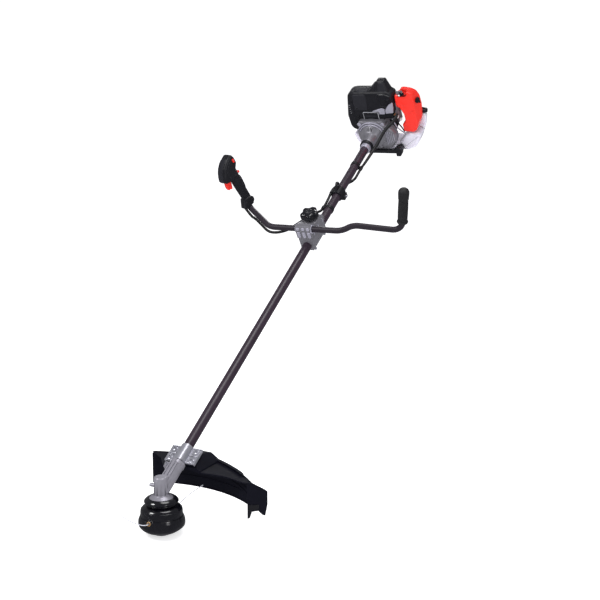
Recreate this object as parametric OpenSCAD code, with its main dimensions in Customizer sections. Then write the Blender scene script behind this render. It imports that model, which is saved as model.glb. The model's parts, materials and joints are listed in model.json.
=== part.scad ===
// Petrol brush cutter with a bump-feed line head, a bull-horn handlebar and a 52 cc class engine.
// Frame: origin under the bump knob, +Z up along the spin axis, +Y towards the operator and engine.

/* [Node] */
// Piece to show: a node name, or all

/* [Layout] */
// Slope of the main tube above level, degrees
tilt = 33; // [31:1:35]
// Height where the tube axis meets the spin axis
axis_height = 113.5; // [113:0.5:115]
// Outside diameter of the main tube
tube_d = 28; // [28:1:28]
// Wall of the main tube
tube_wall = 1.5; // [1.2:0.1:2]
// Distance along the tube from the spin axis to the tube's engine end
tube_end = 1552; // [1550:1:1556]

/* [Gearbox] */
// Teeth on the bevel pinion
pinion_teeth = 14; // [14:1:14]
// Teeth on the bevel output gear
gear_teeth = 19; // [19:1:19]
// Pitch radius of the output gear at its large end
gear_pitch_r = 12; // [11.8:0.1:12.1]
// Radius of the output shaft
shaft_r = 4.98; // [4.9:0.01:4.99]
// Outside radius of the gearbox bearings
bearing_r = 13; // [13:1:13]
// Width of the gearbox bearings
bearing_w = 8; // [8:1:8]

/* [Trimmer head] */
// Largest radius of the head
head_r = 61; // [59:0.5:62]
// Height of the line eyelets
eyelet_z = 47; // [46.5:0.5:47]
// Radius of the cutting line
line_r = 1.2; // [1:0.1:1.3]
// Reach of the cutting line from the spin axis
line_reach = 155; // [140:5:160]

/* [Guard] */
// Radius of the guard skirt in plan
skirt_r = 350; // [345:1:355]
// Height of the skirt's lower edge
skirt_low = 65; // [60:1:70]
// Height of the guard's roof
roof_z = 150; // [149:1:151]
// Wall of the guard
guard_wall = 3; // [2.5:0.5:3.5]

/* [Handlebar] */
// Radius of the handlebar tube
bar_r = 9.5; // [9:0.5:9.5]
// Place of the handlebar along the main tube
bar_at = 1008; // [1004:1:1012]
// Height of the handlebar axis above the tube axis
bar_h = 58; // [57:0.5:59]
// Bend radius of the handlebar at the grips
bar_bend = 30; // [26:1:32]
// Length of the throttle handle
handle_len = 180; // [180:1:186]
// Turn of the throttle handle about its own axis, degrees
handle_yaw = -25; // [-35:5:-15]

/* [Engine] */
// Radius of the clutch drum
drum_r = 36; // [35:0.5:36]
// Radius of the flywheel
flywheel_r = 50; // [46:1:51]
// Place of the cylinder axis along the crank axis
cylinder_at = 1656; // [1655:1:1657]
// Bore radius of the cylinder
bore_r = 22; // [21:0.5:22.5]
// Half of the piston stroke
crank_throw = 17; // [16:0.5:18]
// Outside radius of the recoil starter
starter_r = 62; // [60:1:64]

/* [Hidden] */
$fn = 48;
gap = 0.05;
tube_r = tube_d / 2;
black = [0.05, 0.05, 0.06];
dark = [0.16, 0.13, 0.17];
cast = [0.62, 0.61, 0.65];
steel = [0.75, 0.75, 0.77];
red = [0.85, 0.12, 0.10];
brass = [0.80, 0.60, 0.30];
milk = [0.90, 0.90, 0.88];
rubber = [0.08, 0.08, 0.08];

// Bevel gearing: the shaft angle is the angle between the tube and the spin axis
shaft_angle = 90 - tilt;
ratio = gear_teeth / pinion_teeth;
pinion_cone = atan(sin(shaft_angle) / (ratio + cos(shaft_angle)));
gear_cone = shaft_angle - pinion_cone;
cone_far = gear_pitch_r / sin(gear_cone);
cone_near = 15;
tooth_up = 2.1;
tooth_down = 3.2;

// Places up the spin axis
case_low = 93.6;
case_top = 155;
lower_bearing_z = 94.6;
upper_bearing_z = 133.3;
cup_low = 80.6;
cover_low = 52.1;
cover_top = 80.4;
spool_low = 18;
spool_high = 48;

// Places along the tube
socket_at = 62;
neck_end = 97;
bracket_from = 101;
bracket_to = 153;
pinion_bearing_at = 24.2;

// Handlebar route, as (across, along the tube, above the tube)
grip_dir = [0.216, 0.06, 0.975];
handle_dir = [-0.216, 0.129, 0.968];
handle_foot = [-234, 1090, 67];
grip_foot = [301, 1066, 24];
grip_len = 150;
BAR = [
    grip_foot + grip_dir * grip_len,
    grip_foot,
    [159, 1031, 64.5],
    [128, bar_at, bar_h],
    [-125, bar_at, bar_h],
    handle_foot,
    handle_foot + handle_dir * 100
];
BAR_BENDS = [0, bar_bend, 60, 60, 60, bar_bend];

// ---------- helpers ----------

module on_tube() {
    translate([0, 0, axis_height])
        rotate([tilt, 0, 0])
            children();
}

// Straight round bar along the tube direction
module rod(from, to, r, r2 = -1) {
    translate([0, from, 0])
        rotate([-90, 0, 0])
            cylinder(h = to - from, r1 = r, r2 = r2 < 0 ? r : r2);
}

module ring_rod(from, to, r_out, r_in) {
    difference() {
        rod(from, to, r_out);
        rod(from - 1, to + 1, r_in);
    }
}

// Block given by its two corners
module block(low, high) {
    translate(low)
        cube(high - low);
}

// Puts the local z axis along dir, starting at place
module aim(place, dir) {
    translate(place)
        rotate(a = acos(dir[2] / norm(dir)), v = cross([0, 0, 1], dir))
            children();
}

// Cylinder along X
module cross_rod(place, length, r) {
    translate(place)
        rotate([0, 90, 0])
            cylinder(h = length, r = r);
}

function unit(v) = v / norm(v);

// Arc that replaces corner b of the route a-b-c
function bend(a, b, c, r, n) =
    let (
        u = unit(a - b),
        v = unit(c - b),
        half = acos(u * v) / 2,
        p = b + u * r / tan(half),
        q = b + v * r / tan(half),
        o = b + unit(u + v) * r / sin(half),
        turn = 180 - 2 * half
    )
    [for (i = [0:n]) o + (sin(turn * (1 - i / n)) * (p - o) + sin(turn * i / n) * (q - o)) / sin(turn)];

function rounded(route, radii, n) = [
    route[0],
    for (i = [1:len(route) - 2]) each bend(route[i - 1], route[i], route[i + 1], radii[i], n),
    route[len(route) - 1]
];

function heading(route, i) =
    unit(route[min(i + 1, len(route) - 1)] - route[max(i - 1, 0)]);

function carried(route, i, side) =
    i == len(route) ? [] :
    let (
        t = heading(route, i),
        s = unit(side - t * (side * t))
    )
    concat([s], carried(route, i + 1, s));

// Round bar swept along a route of points
module sweep(route, r, sides = 12, start_side = [0, 1, 0.3]) {
    side = carried(route, 0, start_side);
    points = [
        for (i = [0:len(route) - 1])
            for (k = [0:sides - 1])
                route[i] + r * (cos(360 * k / sides) * side[i]
                    + sin(360 * k / sides) * cross(heading(route, i), side[i]))
    ];
    last = (len(route) - 1) * sides;
    faces = [
        [for (k = [0:sides - 1]) k],
        for (i = [0:len(route) - 2])
            for (k = [0:sides - 1])
                [
                    i * sides + k,
                    (i + 1) * sides + k,
                    (i + 1) * sides + (k + 1) % sides,
                    i * sides + (k + 1) % sides
                ],
        [for (k = [0:sides - 1]) last + sides - 1 - k]
    ];
    polyhedron(points, faces, convexity = 8);
}

// Smooth curve through the points
function spline(p, n) = [
    for (i = [0:len(p) - 2])
        for (j = [0:n - 1])
            let (
                a = p[max(i - 1, 0)],
                b = p[i],
                c = p[i + 1],
                d = p[min(i + 2, len(p) - 1)],
                t = j / n
            )
            0.5 * (2 * b + (c - a) * t + (2 * a - 5 * b + 4 * c - d) * t * t
                + (3 * b - a - 3 * c + d) * t * t * t),
    p[len(p) - 1]
];

module rounded_rect(w, h, r) {
    hull()
        for (x = [-1, 1])
            for (y = [-1, 1])
                translate([x * (w / 2 - r), y * (h / 2 - r)])
                    circle(r);
}

// Plate outline drawn in across and above, extruded along the tube
module along_slab(from, to) {
    translate([0, to, 0])
        rotate([90, 0, 0])
            linear_extrude(to - from)
                children();
}

// One bevel tooth; every edge runs to the cone apex
module bevel_tooth(cone, teeth) {
    function at(r, a, w) = [r * sin(a) * cos(w), r * sin(a) * sin(w), r * cos(a)];
    pitch = 360 / teeth;
    root = cone - tooth_down - 0.8;
    tip = cone + tooth_up;
    polyhedron(
        [
            for (r = [cone_near, cone_far])
                for (c = [[root, -0.27], [root, 0.27], [tip, 0.11], [tip, -0.11]])
                    at(r, c[0], c[1] * pitch)
        ],
        [[3, 2, 1, 0], [4, 5, 6, 7], [1, 5, 4, 0], [2, 6, 5, 1], [3, 7, 6, 2], [0, 4, 7, 3]]
    );
}

// Bevel gear with its apex at the origin and its back towards +z
module bevel_gear(cone, teeth, back, bore) {
    root = cone - tooth_down;
    low = cone_near * cos(root);
    high = cone_far * cos(root);
    difference() {
        union() {
            translate([0, 0, low])
                cylinder(h = high - low, r1 = cone_near * sin(root), r2 = cone_far * sin(root));
            translate([0, 0, high])
                cylinder(h = back - high, r = cone_far * sin(root));
            for (i = [0:teeth - 1])
                rotate(i * 360 / teeth)
                    bevel_tooth(cone, teeth);
        }
        if (bore > 0)
            translate([0, 0, low - 5])
                cylinder(h = back - low + 10, r = bore);
    }
}

// ---------- gearbox ----------

module gear_case() {
    color(cast)
        difference() {
            union() {
                translate([0, 0, case_low + 6])
                    cylinder(h = case_top - case_low - 9, r = 18);
                translate([0, 0, case_top - 3])
                    cylinder(h = 3, r = 15.5);
                translate([0, 0, case_low])
                    cylinder(h = 6, r = 31);
                translate([0, 0, case_low + 6])
                    cylinder(h = 8, r1 = 31, r2 = 18);
                cross_rod([-30, 0, 128], 16, 5);
                on_tube() {
                    rod(0, neck_end, 19);
                    rod(neck_end - 10, neck_end, 20.5);
                    block([-4, 18, 16], [4, neck_end, 22]);
                    for (side = [-1, 1])
                        block([side * 10 - 1.5, 20, 14], [side * 10 + 1.5, neck_end - 12, 20.4]);
                    block([-30, neck_end - 24, -6], [-16, neck_end - 8, 10]);
                }
            }
            translate([0, 0, case_low - 1])
                cylinder(h = 142 - case_low + 1, r = bearing_r + 0.02);
            on_tube() {
                rod(0, pinion_bearing_at, bearing_r - 0.5);
                rod(pinion_bearing_at - 1, socket_at, bearing_r + 0.02);
                rod(socket_at - 1, neck_end + 1, tube_r + gap);
                translate([-23, neck_end - 16, -20])
                    cylinder(h = 60, r = 3.05);
            }
            cross_rod([-31, 0, 128], 9, 2.55);
        }
}

module bearing_ring(r_out, r_in, w) {
    difference() {
        cylinder(h = w, r = r_out);
        translate([0, 0, -1])
            cylinder(h = w + 2, r = r_in);
        for (z = [-0.6, w - 0.6])
            translate([0, 0, z])
                difference() {
                    cylinder(h = 1.2, r = r_out * 0.88);
                    translate([0, 0, -1])
                        cylinder(h = 4, r = r_in + (r_out - r_in) * 0.3);
                }
    }
}

module ball_bearings() {
    color(steel) {
        for (z = [lower_bearing_z, upper_bearing_z])
            translate([0, 0, z])
                bearing_ring(bearing_r, shaft_r + 0.02, bearing_w);
        on_tube() {
            for (y = [pinion_bearing_at, pinion_bearing_at + bearing_w + 0.4])
                translate([0, y, 0])
                    rotate([-90, 0, 0])
                        bearing_ring(bearing_r, shaft_r + 0.02, bearing_w);
            translate([0, drum_bearing_at, 0])
                rotate([-90, 0, 0])
                    bearing_ring(16, 7.52, 9);
            for (y = crank_bearings_at)
                translate([0, y, 0])
                    rotate([-90, 0, 0])
                        bearing_ring(17.5, 7.52, 10);
        }
    }
}

module output_shaft() {
    color(steel)
        difference() {
            union() {
                translate([0, 0, 24])
                    cylinder(h = 141.2 - 24, r = shaft_r);
                translate([0, 0, 91.2])
                    cylinder(h = 2.2, r = 11);
                translate([0, 0, 103])
                    cylinder(h = 1.5, r = 7);
            }
            translate([0, 0, 20])
                cylinder(h = 12, r = 2.5, $fn = 6);
        }
}

module output_gear() {
    color(steel)
        translate([0, 0, axis_height])
            rotate(90 + 180 / gear_teeth)
                bevel_gear(gear_cone, gear_teeth, 19.6, shaft_r + 0.02);
}

module pinion_gear() {
    color(steel)
        on_tube()
            difference() {
                union() {
                    rotate([-90, 0, 0])
                        rotate(-90)
                            bevel_gear(pinion_cone, pinion_teeth, 22.3, 0);
                    rod(22, 42, shaft_r);
                    rod(22, pinion_bearing_at - 0.1, 6.5);
                    rod(41, socket_at - 0.2, 7);
                }
                block([-3.1, 46, -3.1], [3.1, socket_at + 1, 3.1]);
            }
}

// Screw with a socket head: place of the head's underside, direction of the shank
module cap_screw(place, dir, r, length) {
    aim(place, dir)
        difference() {
            union() {
                cylinder(h = length, r = r);
                translate([0, 0, -1.6 * r])
                    cylinder(h = 1.6 * r, r = 1.7 * r);
            }
            translate([0, 0, -1.6 * r - 1])
                cylinder(h = r + 1, r = 0.85 * r, $fn = 6);
        }
}

module cap_screws() {
    color(steel) {
        cap_screw([-30.05, 0, 128], [1, 0, 0.0001], 2.5, 8);
        on_tube() {
            cap_screw([-23, neck_end - 16, 10.05], [0, 0.0001, -1], 3, 16);
            for (x = guard_bolt_x)
                for (y = guard_bolts_at)
                    cap_screw([x, y, wing_top + 0.05], [0, 0.0001, -1], 3, 16);
            for (x = [-19, 19])
                for (y = [base_from + 12, base_to - 12])
                    cap_screw([x, y, -18.05], [0, 0.0001, 1], 2.5, 20);
            for (x = [-44, 44])
                cap_screw([x, 1605.95, 44], [0, 1, 0.0001], 2.5, 22);
            cap_screw([25.05, harness_at, -9], [-1, 0, 0.0001], 2.5, 8);
        }
    }
}

// ---------- trimmer head ----------

module anti_wrap_cup() {
    color(black)
        rotate_extrude($fn = 72)
            polygon([
                [shaft_r + 0.03, cup_low], [38, cup_low], [41.5, 82], [43, 84.5], [41, 86.5],
                [45, 89], [45, 92], [41, 96.5], [34, 100.5], [32.2, 100.5],
                [32.2, 91], [shaft_r + 0.03, 91]
            ]);
}

module head_cover() {
    color(black)
        difference() {
            union() {
                rotate_extrude($fn = 72)
                    polygon([
                        [11, cover_top], [38, cover_top], [44, 78.4], [49.5, 75], [53.5, 70],
                        [55, 65], [55, cover_low], [52, cover_low], [52, 66], [48, 73.4],
                        [40, 77], [11, 77]
                    ]);
                translate([0, 0, 26])
                    cylinder(h = cover_top - 26, r = 11.2);
            }
            translate([0, 0, 20])
                cylinder(h = 80, r = shaft_r + 0.02);
            translate([0, 0, 20])
                cylinder(h = 12, r = 8, $fn = 6);
        }
}

module head_housing() {
    color(black)
        difference() {
            rotate_extrude($fn = 72)
                polygon([
                    [33, 9], [45, 13.5], [54, 18.5], [59, 23.5], [head_r - 0.6, 28],
                    [head_r, 36], [59.4, 45], [57.2, cover_low - 0.1], [50, cover_low - 0.1],
                    [50, 44], [52.5, 30], [49, 19], [33, 12.5]
                ]);
            for (turn = [-89, 91])
                rotate(turn)
                    cross_rod([40, 0, eyelet_z], 30, 3.3);
        }
}

module line_eyelets() {
    color(brass)
        for (turn = [-89, 91])
            rotate(turn)
                difference() {
                    union() {
                        cross_rod([51, 0, eyelet_z], 9.1, 3.25);
                        cross_rod([60, 0, eyelet_z], 1.2, 4.6);
                    }
                    cross_rod([45, 0, eyelet_z], 30, line_r + 1.3);
                }
}

// Line route from inside an eyelet to its tip
function line_route(side, way) =
    spline(concat(
        [[0, side * 50, eyelet_z], [0, side * 61.5, eyelet_z], [0, side * 68, eyelet_z]],
        [for (k = way) [k[0] * line_reach, k[1] * line_reach, eyelet_z + k[2]]]
    ), 6);

module cutting_line() {
    color(milk) {
        sweep(line_route(-1, [[-0.09, -0.49, 1], [-0.33, -0.53, 11], [-0.64, -0.47, 29]]),
            line_r, 8, [0, 0, 1]);
        sweep(line_route(1, [[0.01, 0.55, 8], [0.08, 0.76, 25], [0.2, 0.98, 41]]),
            line_r, 8, [0, 0, 1]);
    }
}

module line_spool() {
    color(red)
        difference() {
            union() {
                translate([0, 0, spool_low])
                    cylinder(h = spool_high - spool_low, r = 20);
                for (z = [spool_low, 31.5, spool_high - 3])
                    translate([0, 0, z])
                        cylinder(h = z == 31.5 ? 2 : 3, r = 45);
            }
            translate([0, 0, 10])
                cylinder(h = 50, r = 13);
        }
}

module spool_spring() {
    turns = 4;
    steps = 16;
    color(steel)
        sweep([
            for (i = [0:turns * steps])
                let (a = 360 * i / steps)
                [15 * cos(a), 15 * sin(a), spool_high + 1.2 + (76 - spool_high - 2) * i / (turns * steps)]
        ], 0.8, 6, [0, 0, 1]);
}

module bump_knob() {
    color(black) {
        difference() {
            rotate_extrude($fn = 72)
                polygon([
                    [0, 0], [15, 0], [22, 1.6], [27, 4.5], [29.5, 8.5],
                    [29.5, spool_low - 0.1], [0, spool_low - 0.1]
                ]);
            translate([0, 0, 9])
                cylinder(h = 20, r = 13);
            for (i = [0:5])
                rotate(i * 60)
                    translate([31.5, 0, 1])
                        cylinder(h = 20, r = 4.5);
        }
    }
}

// ---------- guard ----------

skirt_mid = [-7, 189 - skirt_r];
skirt_left = -22.3;
skirt_right = 31.9;
end_near = [skirt_mid[0] + skirt_r * sin(skirt_right), skirt_mid[1] + skirt_r * cos(skirt_right)];
end_far = end_near + [44, 30];
roof_lip = 11;

function skirt_arc(r, from, to) =
    [for (i = [0:16]) let (a = from + (to - from) * i / 16) skirt_mid + r * [sin(a), cos(a)]];

module roof_outline() {
    polygon(concat(
        skirt_arc(skirt_r + roof_lip, skirt_left, skirt_right),
        [end_far + [4, 2], end_near - [10, 8], [112, 118], [62, 94], [-58, 94], [-96, 140]]
    ));
}

// Everything under the roof: level over the mount, sloping down to the right end
module under_roof(lower) {
    wide = lower > 0 ? 10 : 0;
    translate([0, 320, 0])
        rotate([90, 0, 0])
            linear_extrude(320)
                polygon([
                    [-220 - wide, -wide], [-220 - wide, roof_z - lower], [36, roof_z - lower],
                    [80, roof_z - 7 - lower], [136, roof_z - 16 - lower], [186, roof_z - 28 - lower],
                    [212, roof_z - 44 - lower], [228 + wide, roof_z - 68 - lower], [228 + wide, -wide]
                ]);
}

// Raised block that takes the bracket, sloping away on the right
module guard_mount() {
    function below(y) = [y * cos(tilt) + 14.5 * sin(tilt), axis_height + y * sin(tilt) - 14.5 * cos(tilt)];
    intersection() {
        translate([-60, 0, 0])
            rotate([90, 0, 90])
                linear_extrude(130)
                    polygon([
                        [94, roof_z - 3], below(bracket_from + 1) - [3, 0], below(bracket_from + 1),
                        below(bracket_to - 1), [150, 176], [190, 170], [197, roof_z - 3]
                    ]);
        translate([0, 300, 0])
            rotate([90, 0, 0])
                linear_extrude(300)
                    polygon([
                        [-40, roof_z - 4], [-36, 190], [12, 190], [58, roof_z], [60, roof_z - 4]
                    ]);
    }
    on_tube()
        for (side = [-1, 1])
            block([side < 0 ? -43.8 : 15.2, bracket_from + 1, -15],
                [side < 0 ? -15.2 : 43.8, bracket_to - 1, -3.3]);
}

module guard() {
    color(black)
        difference() {
            union() {
                intersection() {
                    translate([0, 0, 60])
                        linear_extrude(120)
                            roof_outline();
                    difference() {
                        under_roof(0);
                        under_roof(guard_wall);
                    }
                }
                skirt();
                guard_mount();
                roof_rib();
            }
            on_tube() {
                rod(0, 300, tube_r + 0.4);
                for (x = guard_bolt_x)
                    for (y = guard_bolts_at)
                        translate([x, y, -30])
                            cylinder(h = 40, r = 3.1);
            }
        }
}

// Curved wall and the end plate with two prongs that carry the line cutter
module skirt() {
    intersection() {
        union() {
            translate([0, 0, skirt_low])
                linear_extrude(roof_z - skirt_low)
                    polygon(concat(
                        skirt_arc(skirt_r, skirt_left, skirt_right),
                        skirt_arc(skirt_r + guard_wall, skirt_right, skirt_left)
                    ));
            end_plate();
        }
        under_roof(1);
    }
}

module end_plate() {
    length = norm(end_far - end_near);
    on_end_plate()
        translate([0, 0, -guard_wall])
            linear_extrude(guard_wall)
                polygon([
                    [0, 24], [6, 26], [12, 43], [28, 45], [40, 33],
                    [47, 31], [length, 62], [length, 140], [0, 140]
                ]);
}

// Frame of the end plate: x along the plate, y up, z towards the spin axis
module on_end_plate() {
    translate([end_near[0], end_near[1], 0])
        rotate(atan2(end_far[1] - end_near[1], end_far[0] - end_near[0]))
            rotate([90, 0, 0])
                children();
}

module roof_rib() {
    intersection() {
        translate([0, 0, 60])
            linear_extrude(120)
                polygon(concat(
                    skirt_arc(skirt_r + 1, 9, 26),
                    skirt_arc(skirt_r + roof_lip, 26, 9)
                ));
        difference() {
            under_roof(-6);
            under_roof(1);
        }
    }
}

module line_cutter_blade() {
    color(steel)
        on_end_plate()
            translate([0, 0, 0.05])
                linear_extrude(1.6)
                    polygon([[1, 27], [5, 29], [11, 48], [30, 50], [30, 62], [1, 62]]);
}

wing_top = 0;
guard_bolt_x = [-34, 34];
guard_bolts_at = [112, 142];

module guard_bracket() {
    color(steel)
        on_tube()
            difference() {
                union() {
                    rod(bracket_from, bracket_to, tube_r + 3.2);
                    block([-46, bracket_from, -3], [46, bracket_to, wing_top]);
                    for (side = [-1, 1])
                        block([side * 45 - 1, bracket_from, -8], [side * 45 + 1, bracket_to, wing_top]);
                }
                rod(bracket_from - 1, bracket_to + 1, tube_r + gap);
                block([-60, bracket_from - 1, -40], [60, bracket_to + 1, -8]);
                block([-44, bracket_from - 1, -10], [44, bracket_to + 1, -3]);
                for (x = guard_bolt_x)
                    for (y = guard_bolts_at)
                        translate([x, y, -14])
                            cylinder(h = 20, r = 3.1);
                for (side = [-1, 1])
                    translate([side * 26, (bracket_from + bracket_to) / 2, -6])
                        cylinder(h = 8, r = 4);
            }
}

// ---------- tube and shaft ----------

module main_tube() {
    color(dark)
        on_tube()
            ring_rod(socket_at + gap, tube_end, tube_r, tube_r - tube_wall);
}

module drive_shaft() {
    color(steel)
        on_tube() {
            rod(66, tube_end - 4, 4);
            block([-3, 48, -3], [3, 67, 3]);
            block([-3, tube_end - 5, -3], [3, drum_at - 1, 3]);
        }
}

module shaft_bushes() {
    bushes = 6;
    color(rubber)
        on_tube()
            for (i = [0:bushes - 1])
                let (y = 160 + i * (tube_end - 300) / (bushes - 1))
                ring_rod(y, y + 22, tube_r - tube_wall - gap, 4.1);
}

harness_at = 1265;

module harness_bracket() {
    color(black)
        on_tube()
            difference() {
                union() {
                    rod(harness_at - 17, harness_at + 17, tube_r + 5);
                    translate([-3, 0, 0])
                        rotate([90, 0, 90])
                            linear_extrude(6)
                                hull() {
                                    translate([harness_at - 14, 14])
                                        square([28, 4]);
                                    translate([harness_at + 8, 31])
                                        circle(10);
                                }
                    block([12, harness_at - 12, -17], [25, harness_at + 12, -2]);
                    translate([-20, harness_at - 10, 8])
                        rotate([-90, 0, 0])
                            cylinder(h = 20, r = 7);
                }
                rod(harness_at - 20, harness_at + 20, tube_r + gap);
                cross_rod([-10, harness_at + 8, 31], 20, 6);
                cross_rod([0, harness_at, -9], 40, 2.55);
                translate([-21.5, harness_at - 11, 8.5])
                    rotate([-90, 0, 0])
                        cylinder(h = 22, r = 5);
            }
}

clip_at = [1180, 1420];

module cable_clips() {
    color(black)
        on_tube()
            for (i = [0, 1])
                let (side = i == 0 ? -1 : 1, y = clip_at[i])
                difference() {
                    union() {
                        rod(y - 6, y + 6, tube_r + 1.8);
                        translate([side * 19.5, y - 6, i == 0 ? 5 : -10])
                            rotate([-90, 0, 0])
                                cylinder(h = 12, r = 6.4);
                    }
                    rod(y - 8, y + 8, tube_r + gap);
                    translate([side * 19.8, y - 8, i == 0 ? 5 : -10])
                        rotate([-90, 0, 0])
                            cylinder(h = 16, r = 4.6);
                }
}

// ---------- handlebar ----------

base_from = 995;
base_to = 1092;
knob_at = 1060;
cap_low = 50;

module handlebar_base() {
    color(cast)
        on_tube()
            difference() {
                union() {
                    block([-27, base_from, 30], [27, bar_at + 12, bar_h - 0.2]);
                    block([-27, base_from, 30], [27, base_to, cap_low - 0.2]);
                    along_slab(base_from, base_to)
                        polygon([
                            [-24, 40], [24, 40], [24, -8], [18, -18], [-18, -18], [-24, -8]
                        ]);
                }
                rod(base_from - 1, base_to + 1, tube_r + gap);
                cross_rod([-40, bar_at, bar_h], 80, bar_r + gap);
                translate([0, knob_at, 16])
                    cylinder(h = 60, r = 4.2);
                block([-40, base_from - 1, -0.5], [40, base_to + 1, 0.5]);
                for (x = [-19, 19])
                    for (y = [base_from + 12, base_to - 12])
                        translate([x, y, -30])
                            cylinder(h = 40, r = 2.55);
            }
}

module handlebar_cap() {
    color(cast)
        on_tube()
            difference() {
                translate([-27, 0, 0])
                    rotate([90, 0, 90])
                        linear_extrude(54)
                            polygon([
                                [base_from, bar_h + 0.2], [base_from, bar_h + 7],
                                [base_from + 6, bar_h + 14], [bar_at + 8, bar_h + 14],
                                [knob_at - 26, cap_low + 12], [base_to - 14, cap_low + 12],
                                [base_to - 8, cap_low], [bar_at + 16, cap_low],
                                [bar_at + 12.5, bar_h + 0.2]
                            ]);
                cross_rod([-40, bar_at, bar_h], 80, bar_r + gap);
                translate([0, knob_at, 16])
                    cylinder(h = 80, r = 4.2);
            }
}

module clamp_knob() {
    lobes = 5;
    low = cap_low + 12.2;
    color(black)
        on_tube()
            translate([0, knob_at, 0]) {
                translate([0, 0, 30])
                    cylinder(h = low - 20, r = 4);
                difference() {
                    translate([0, 0, low]) {
                        cylinder(h = 7, r = 13);
                        translate([0, 0, 6])
                            cylinder(h = 17, r = 22);
                        for (i = [0:lobes - 1])
                            rotate(i * 360 / lobes)
                                translate([22, 0, 4])
                                    cylinder(h = 16, r = 9.4);
                    }
                    translate([0, 0, low + 19])
                        cylinder(h = 10, r = 6);
                }
            }
}

module handlebar() {
    color(dark)
        on_tube() {
            sweep(rounded(BAR, BAR_BENDS, 7), bar_r, 24);
            cross_rod([-40, bar_at, bar_h], 80, bar_r);
        }
}

module plain_grip() {
    color(rubber)
        on_tube()
            aim(grip_foot + grip_dir * 34, grip_dir)
                rotate_extrude()
                    polygon([
                        [bar_r + 0.1, 0], [17, 0], [17.5, 3], [15, 6], [14.6, 60],
                        [15, 84], [16, 88], [16.6, 98], [17, 108], [16, 117],
                        [12, 122.5], [6, 125], [0, 125.5], [0, 118.5], [bar_r + 0.1, 118.5]
                    ]);
}

// Frame of the throttle handle: z up the handle, -y towards the fingers
module on_handle() {
    on_tube()
        aim(handle_foot + handle_dir * 12, handle_dir)
            rotate(handle_yaw)
                children();
}

module handle_side(grow) {
    offset(r = grow)
        polygon([
            [-16, 0], [-16, 104], [-46, 104.5], [-52, 112], [-50, 124], [-43, 138],
            [-36, 150], [-25, 161], [-11, handle_len - 8], [2, handle_len], [10, handle_len - 2],
            [15, handle_len - 12], [16, 150], [15, 140], [15, 0]
        ]);
}

// Solid shape of the throttle handle, grown or shrunk by a margin
module handle_shape(grow) {
    intersection() {
        translate([-30, 0, 0])
            rotate([90, 0, 90])
                linear_extrude(60)
                    handle_side(grow);
        union() {
            translate([0, 0, -10])
                linear_extrude(125)
                    rounded_rect(30 + 2 * grow, 80, 8);
            translate([0, -17.5, 102 - grow])
                linear_extrude(110 + 2 * grow)
                    rounded_rect(44 + 2 * grow, 71 + 2 * grow, 9);
        }
    }
}

module handle_half(side) {
    difference() {
        union() {
            handle_shape(0);
            block([-17, -30, -2], [17, -10, 28]);
            block([-17, 8, 0], [17, 24, 24]);
        }
        difference() {
            handle_shape(-2.4);
            translate([-40, -60, -10])
                cube([80, 120, 110]);
        }
        translate([0, 0, -20])
            cylinder(h = 110, r = bar_r + 0.1);
        translate([0, 0, -20])
            cylinder(h = 32, r = bar_r + 3);
        translate([side > 0 ? -59.95 : -0.05, -80, -20])
            cube([60, 160, 260]);
        // trigger opening in the throat
        block([-7.2, -48.5, 96], [7.2, -13, 124]);
        block([-7.2, -24, 66], [7.2, -12.4, 124]);
        // lever and button openings at the back
        block([-5.3, 9.8, 46], [5.3, 30, 105.5]);
        block([-5.3, 4, 84], [5.3, 30, 105.5]);
        translate([0, 0, 113])
            rotate([-90, 0, 0])
                cylinder(h = 30, r = 5.1);
        // slot for the stop switch on the inner side
        block([12, 1, 152], [30, 11, 171]);
        // cable exit
        translate([0, -21, -5])
            cylinder(h = 60, r = 5);
    }
}

module throttle_handle_outer() {
    color(black)
        on_handle()
            handle_half(-1);
}

module throttle_handle_inner() {
    color(black)
        on_handle()
            handle_half(1);
}

module throttle_trigger() {
    color(red)
        on_handle()
            translate([-6.8, 0, 0])
                rotate([90, 0, 90])
                    linear_extrude(13.6)
                        polygon([
                            [-15.5, 120], [-24, 121.5], [-36, 116], [-44, 107], [-47, 92],
                            [-45.5, 81], [-41, 76], [-38, 80], [-34, 75.5], [-30, 77],
                            [-27, 86], [-24.6, 97], [-18, 108], [-15.5, 114]
                        ]);
}

module safety_lever() {
    color(black)
        on_handle()
            translate([-5, 0, 0])
                rotate([90, 0, 90])
                    linear_extrude(10)
                        polygon([
                            [11, 48], [16, 48], [17, 56], [20.5, 64], [21.5, 90], [19.5, 101],
                            [16, 103], [14.6, 103], [14.6, 57], [11, 54]
                        ]);
}

module stop_switch() {
    color(red)
        on_handle() {
            block([22.2, 2.5, 153], [27, 9.5, 165]);
            block([15, 1.5, 153], [19.4, 10.5, 165]);
            block([19, 4, 155], [23, 8, 163]);
        }
}

module start_lock_button() {
    color(red)
        on_handle()
            translate([0, 0, 113])
                rotate([-90, 0, 0])
                    translate([0, 0, 7])
                        cylinder(h = 13, r = 5);
}

// Cable from the foot of the handle, past the clamp, to the carburettor
CABLE = [
    [-222.3, 1065.6, 61.9], [-214.5, 1055.4, 40], [-192, 1046, 30], [-160, 1038, 26], [-120, 1036, 27],
    [-84, 1052, 30], [-52, 1082, 31], [-34, 1124, 21], [-22, 1160, 8], [-19.8, 1180, 5],
    [-19.6, 1200, 5], [-20.6, 1236, 7], [-21.5, 1252, 8.5], [-21.5, 1280, 8.5],
    [-21, 1310, 0], [-17, 1336, -14], [-2, 1352, -21], [13, 1370, -18.5],
    [19.6, 1396, -11], [19.8, 1420, -10], [21, 1450, -12], [27, 1500, -8],
    [39, 1546, 6], [60, 1580, 36], [82, 1600, 52], [95, 1612, 66], [97, 1625, 74]
];

module throttle_cable() {
    color(rubber)
        on_tube()
            sweep(spline(CABLE, 3), 4, 8, [0, 0.3, 1]);
}

// ---------- clutch and crank train ----------

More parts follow.
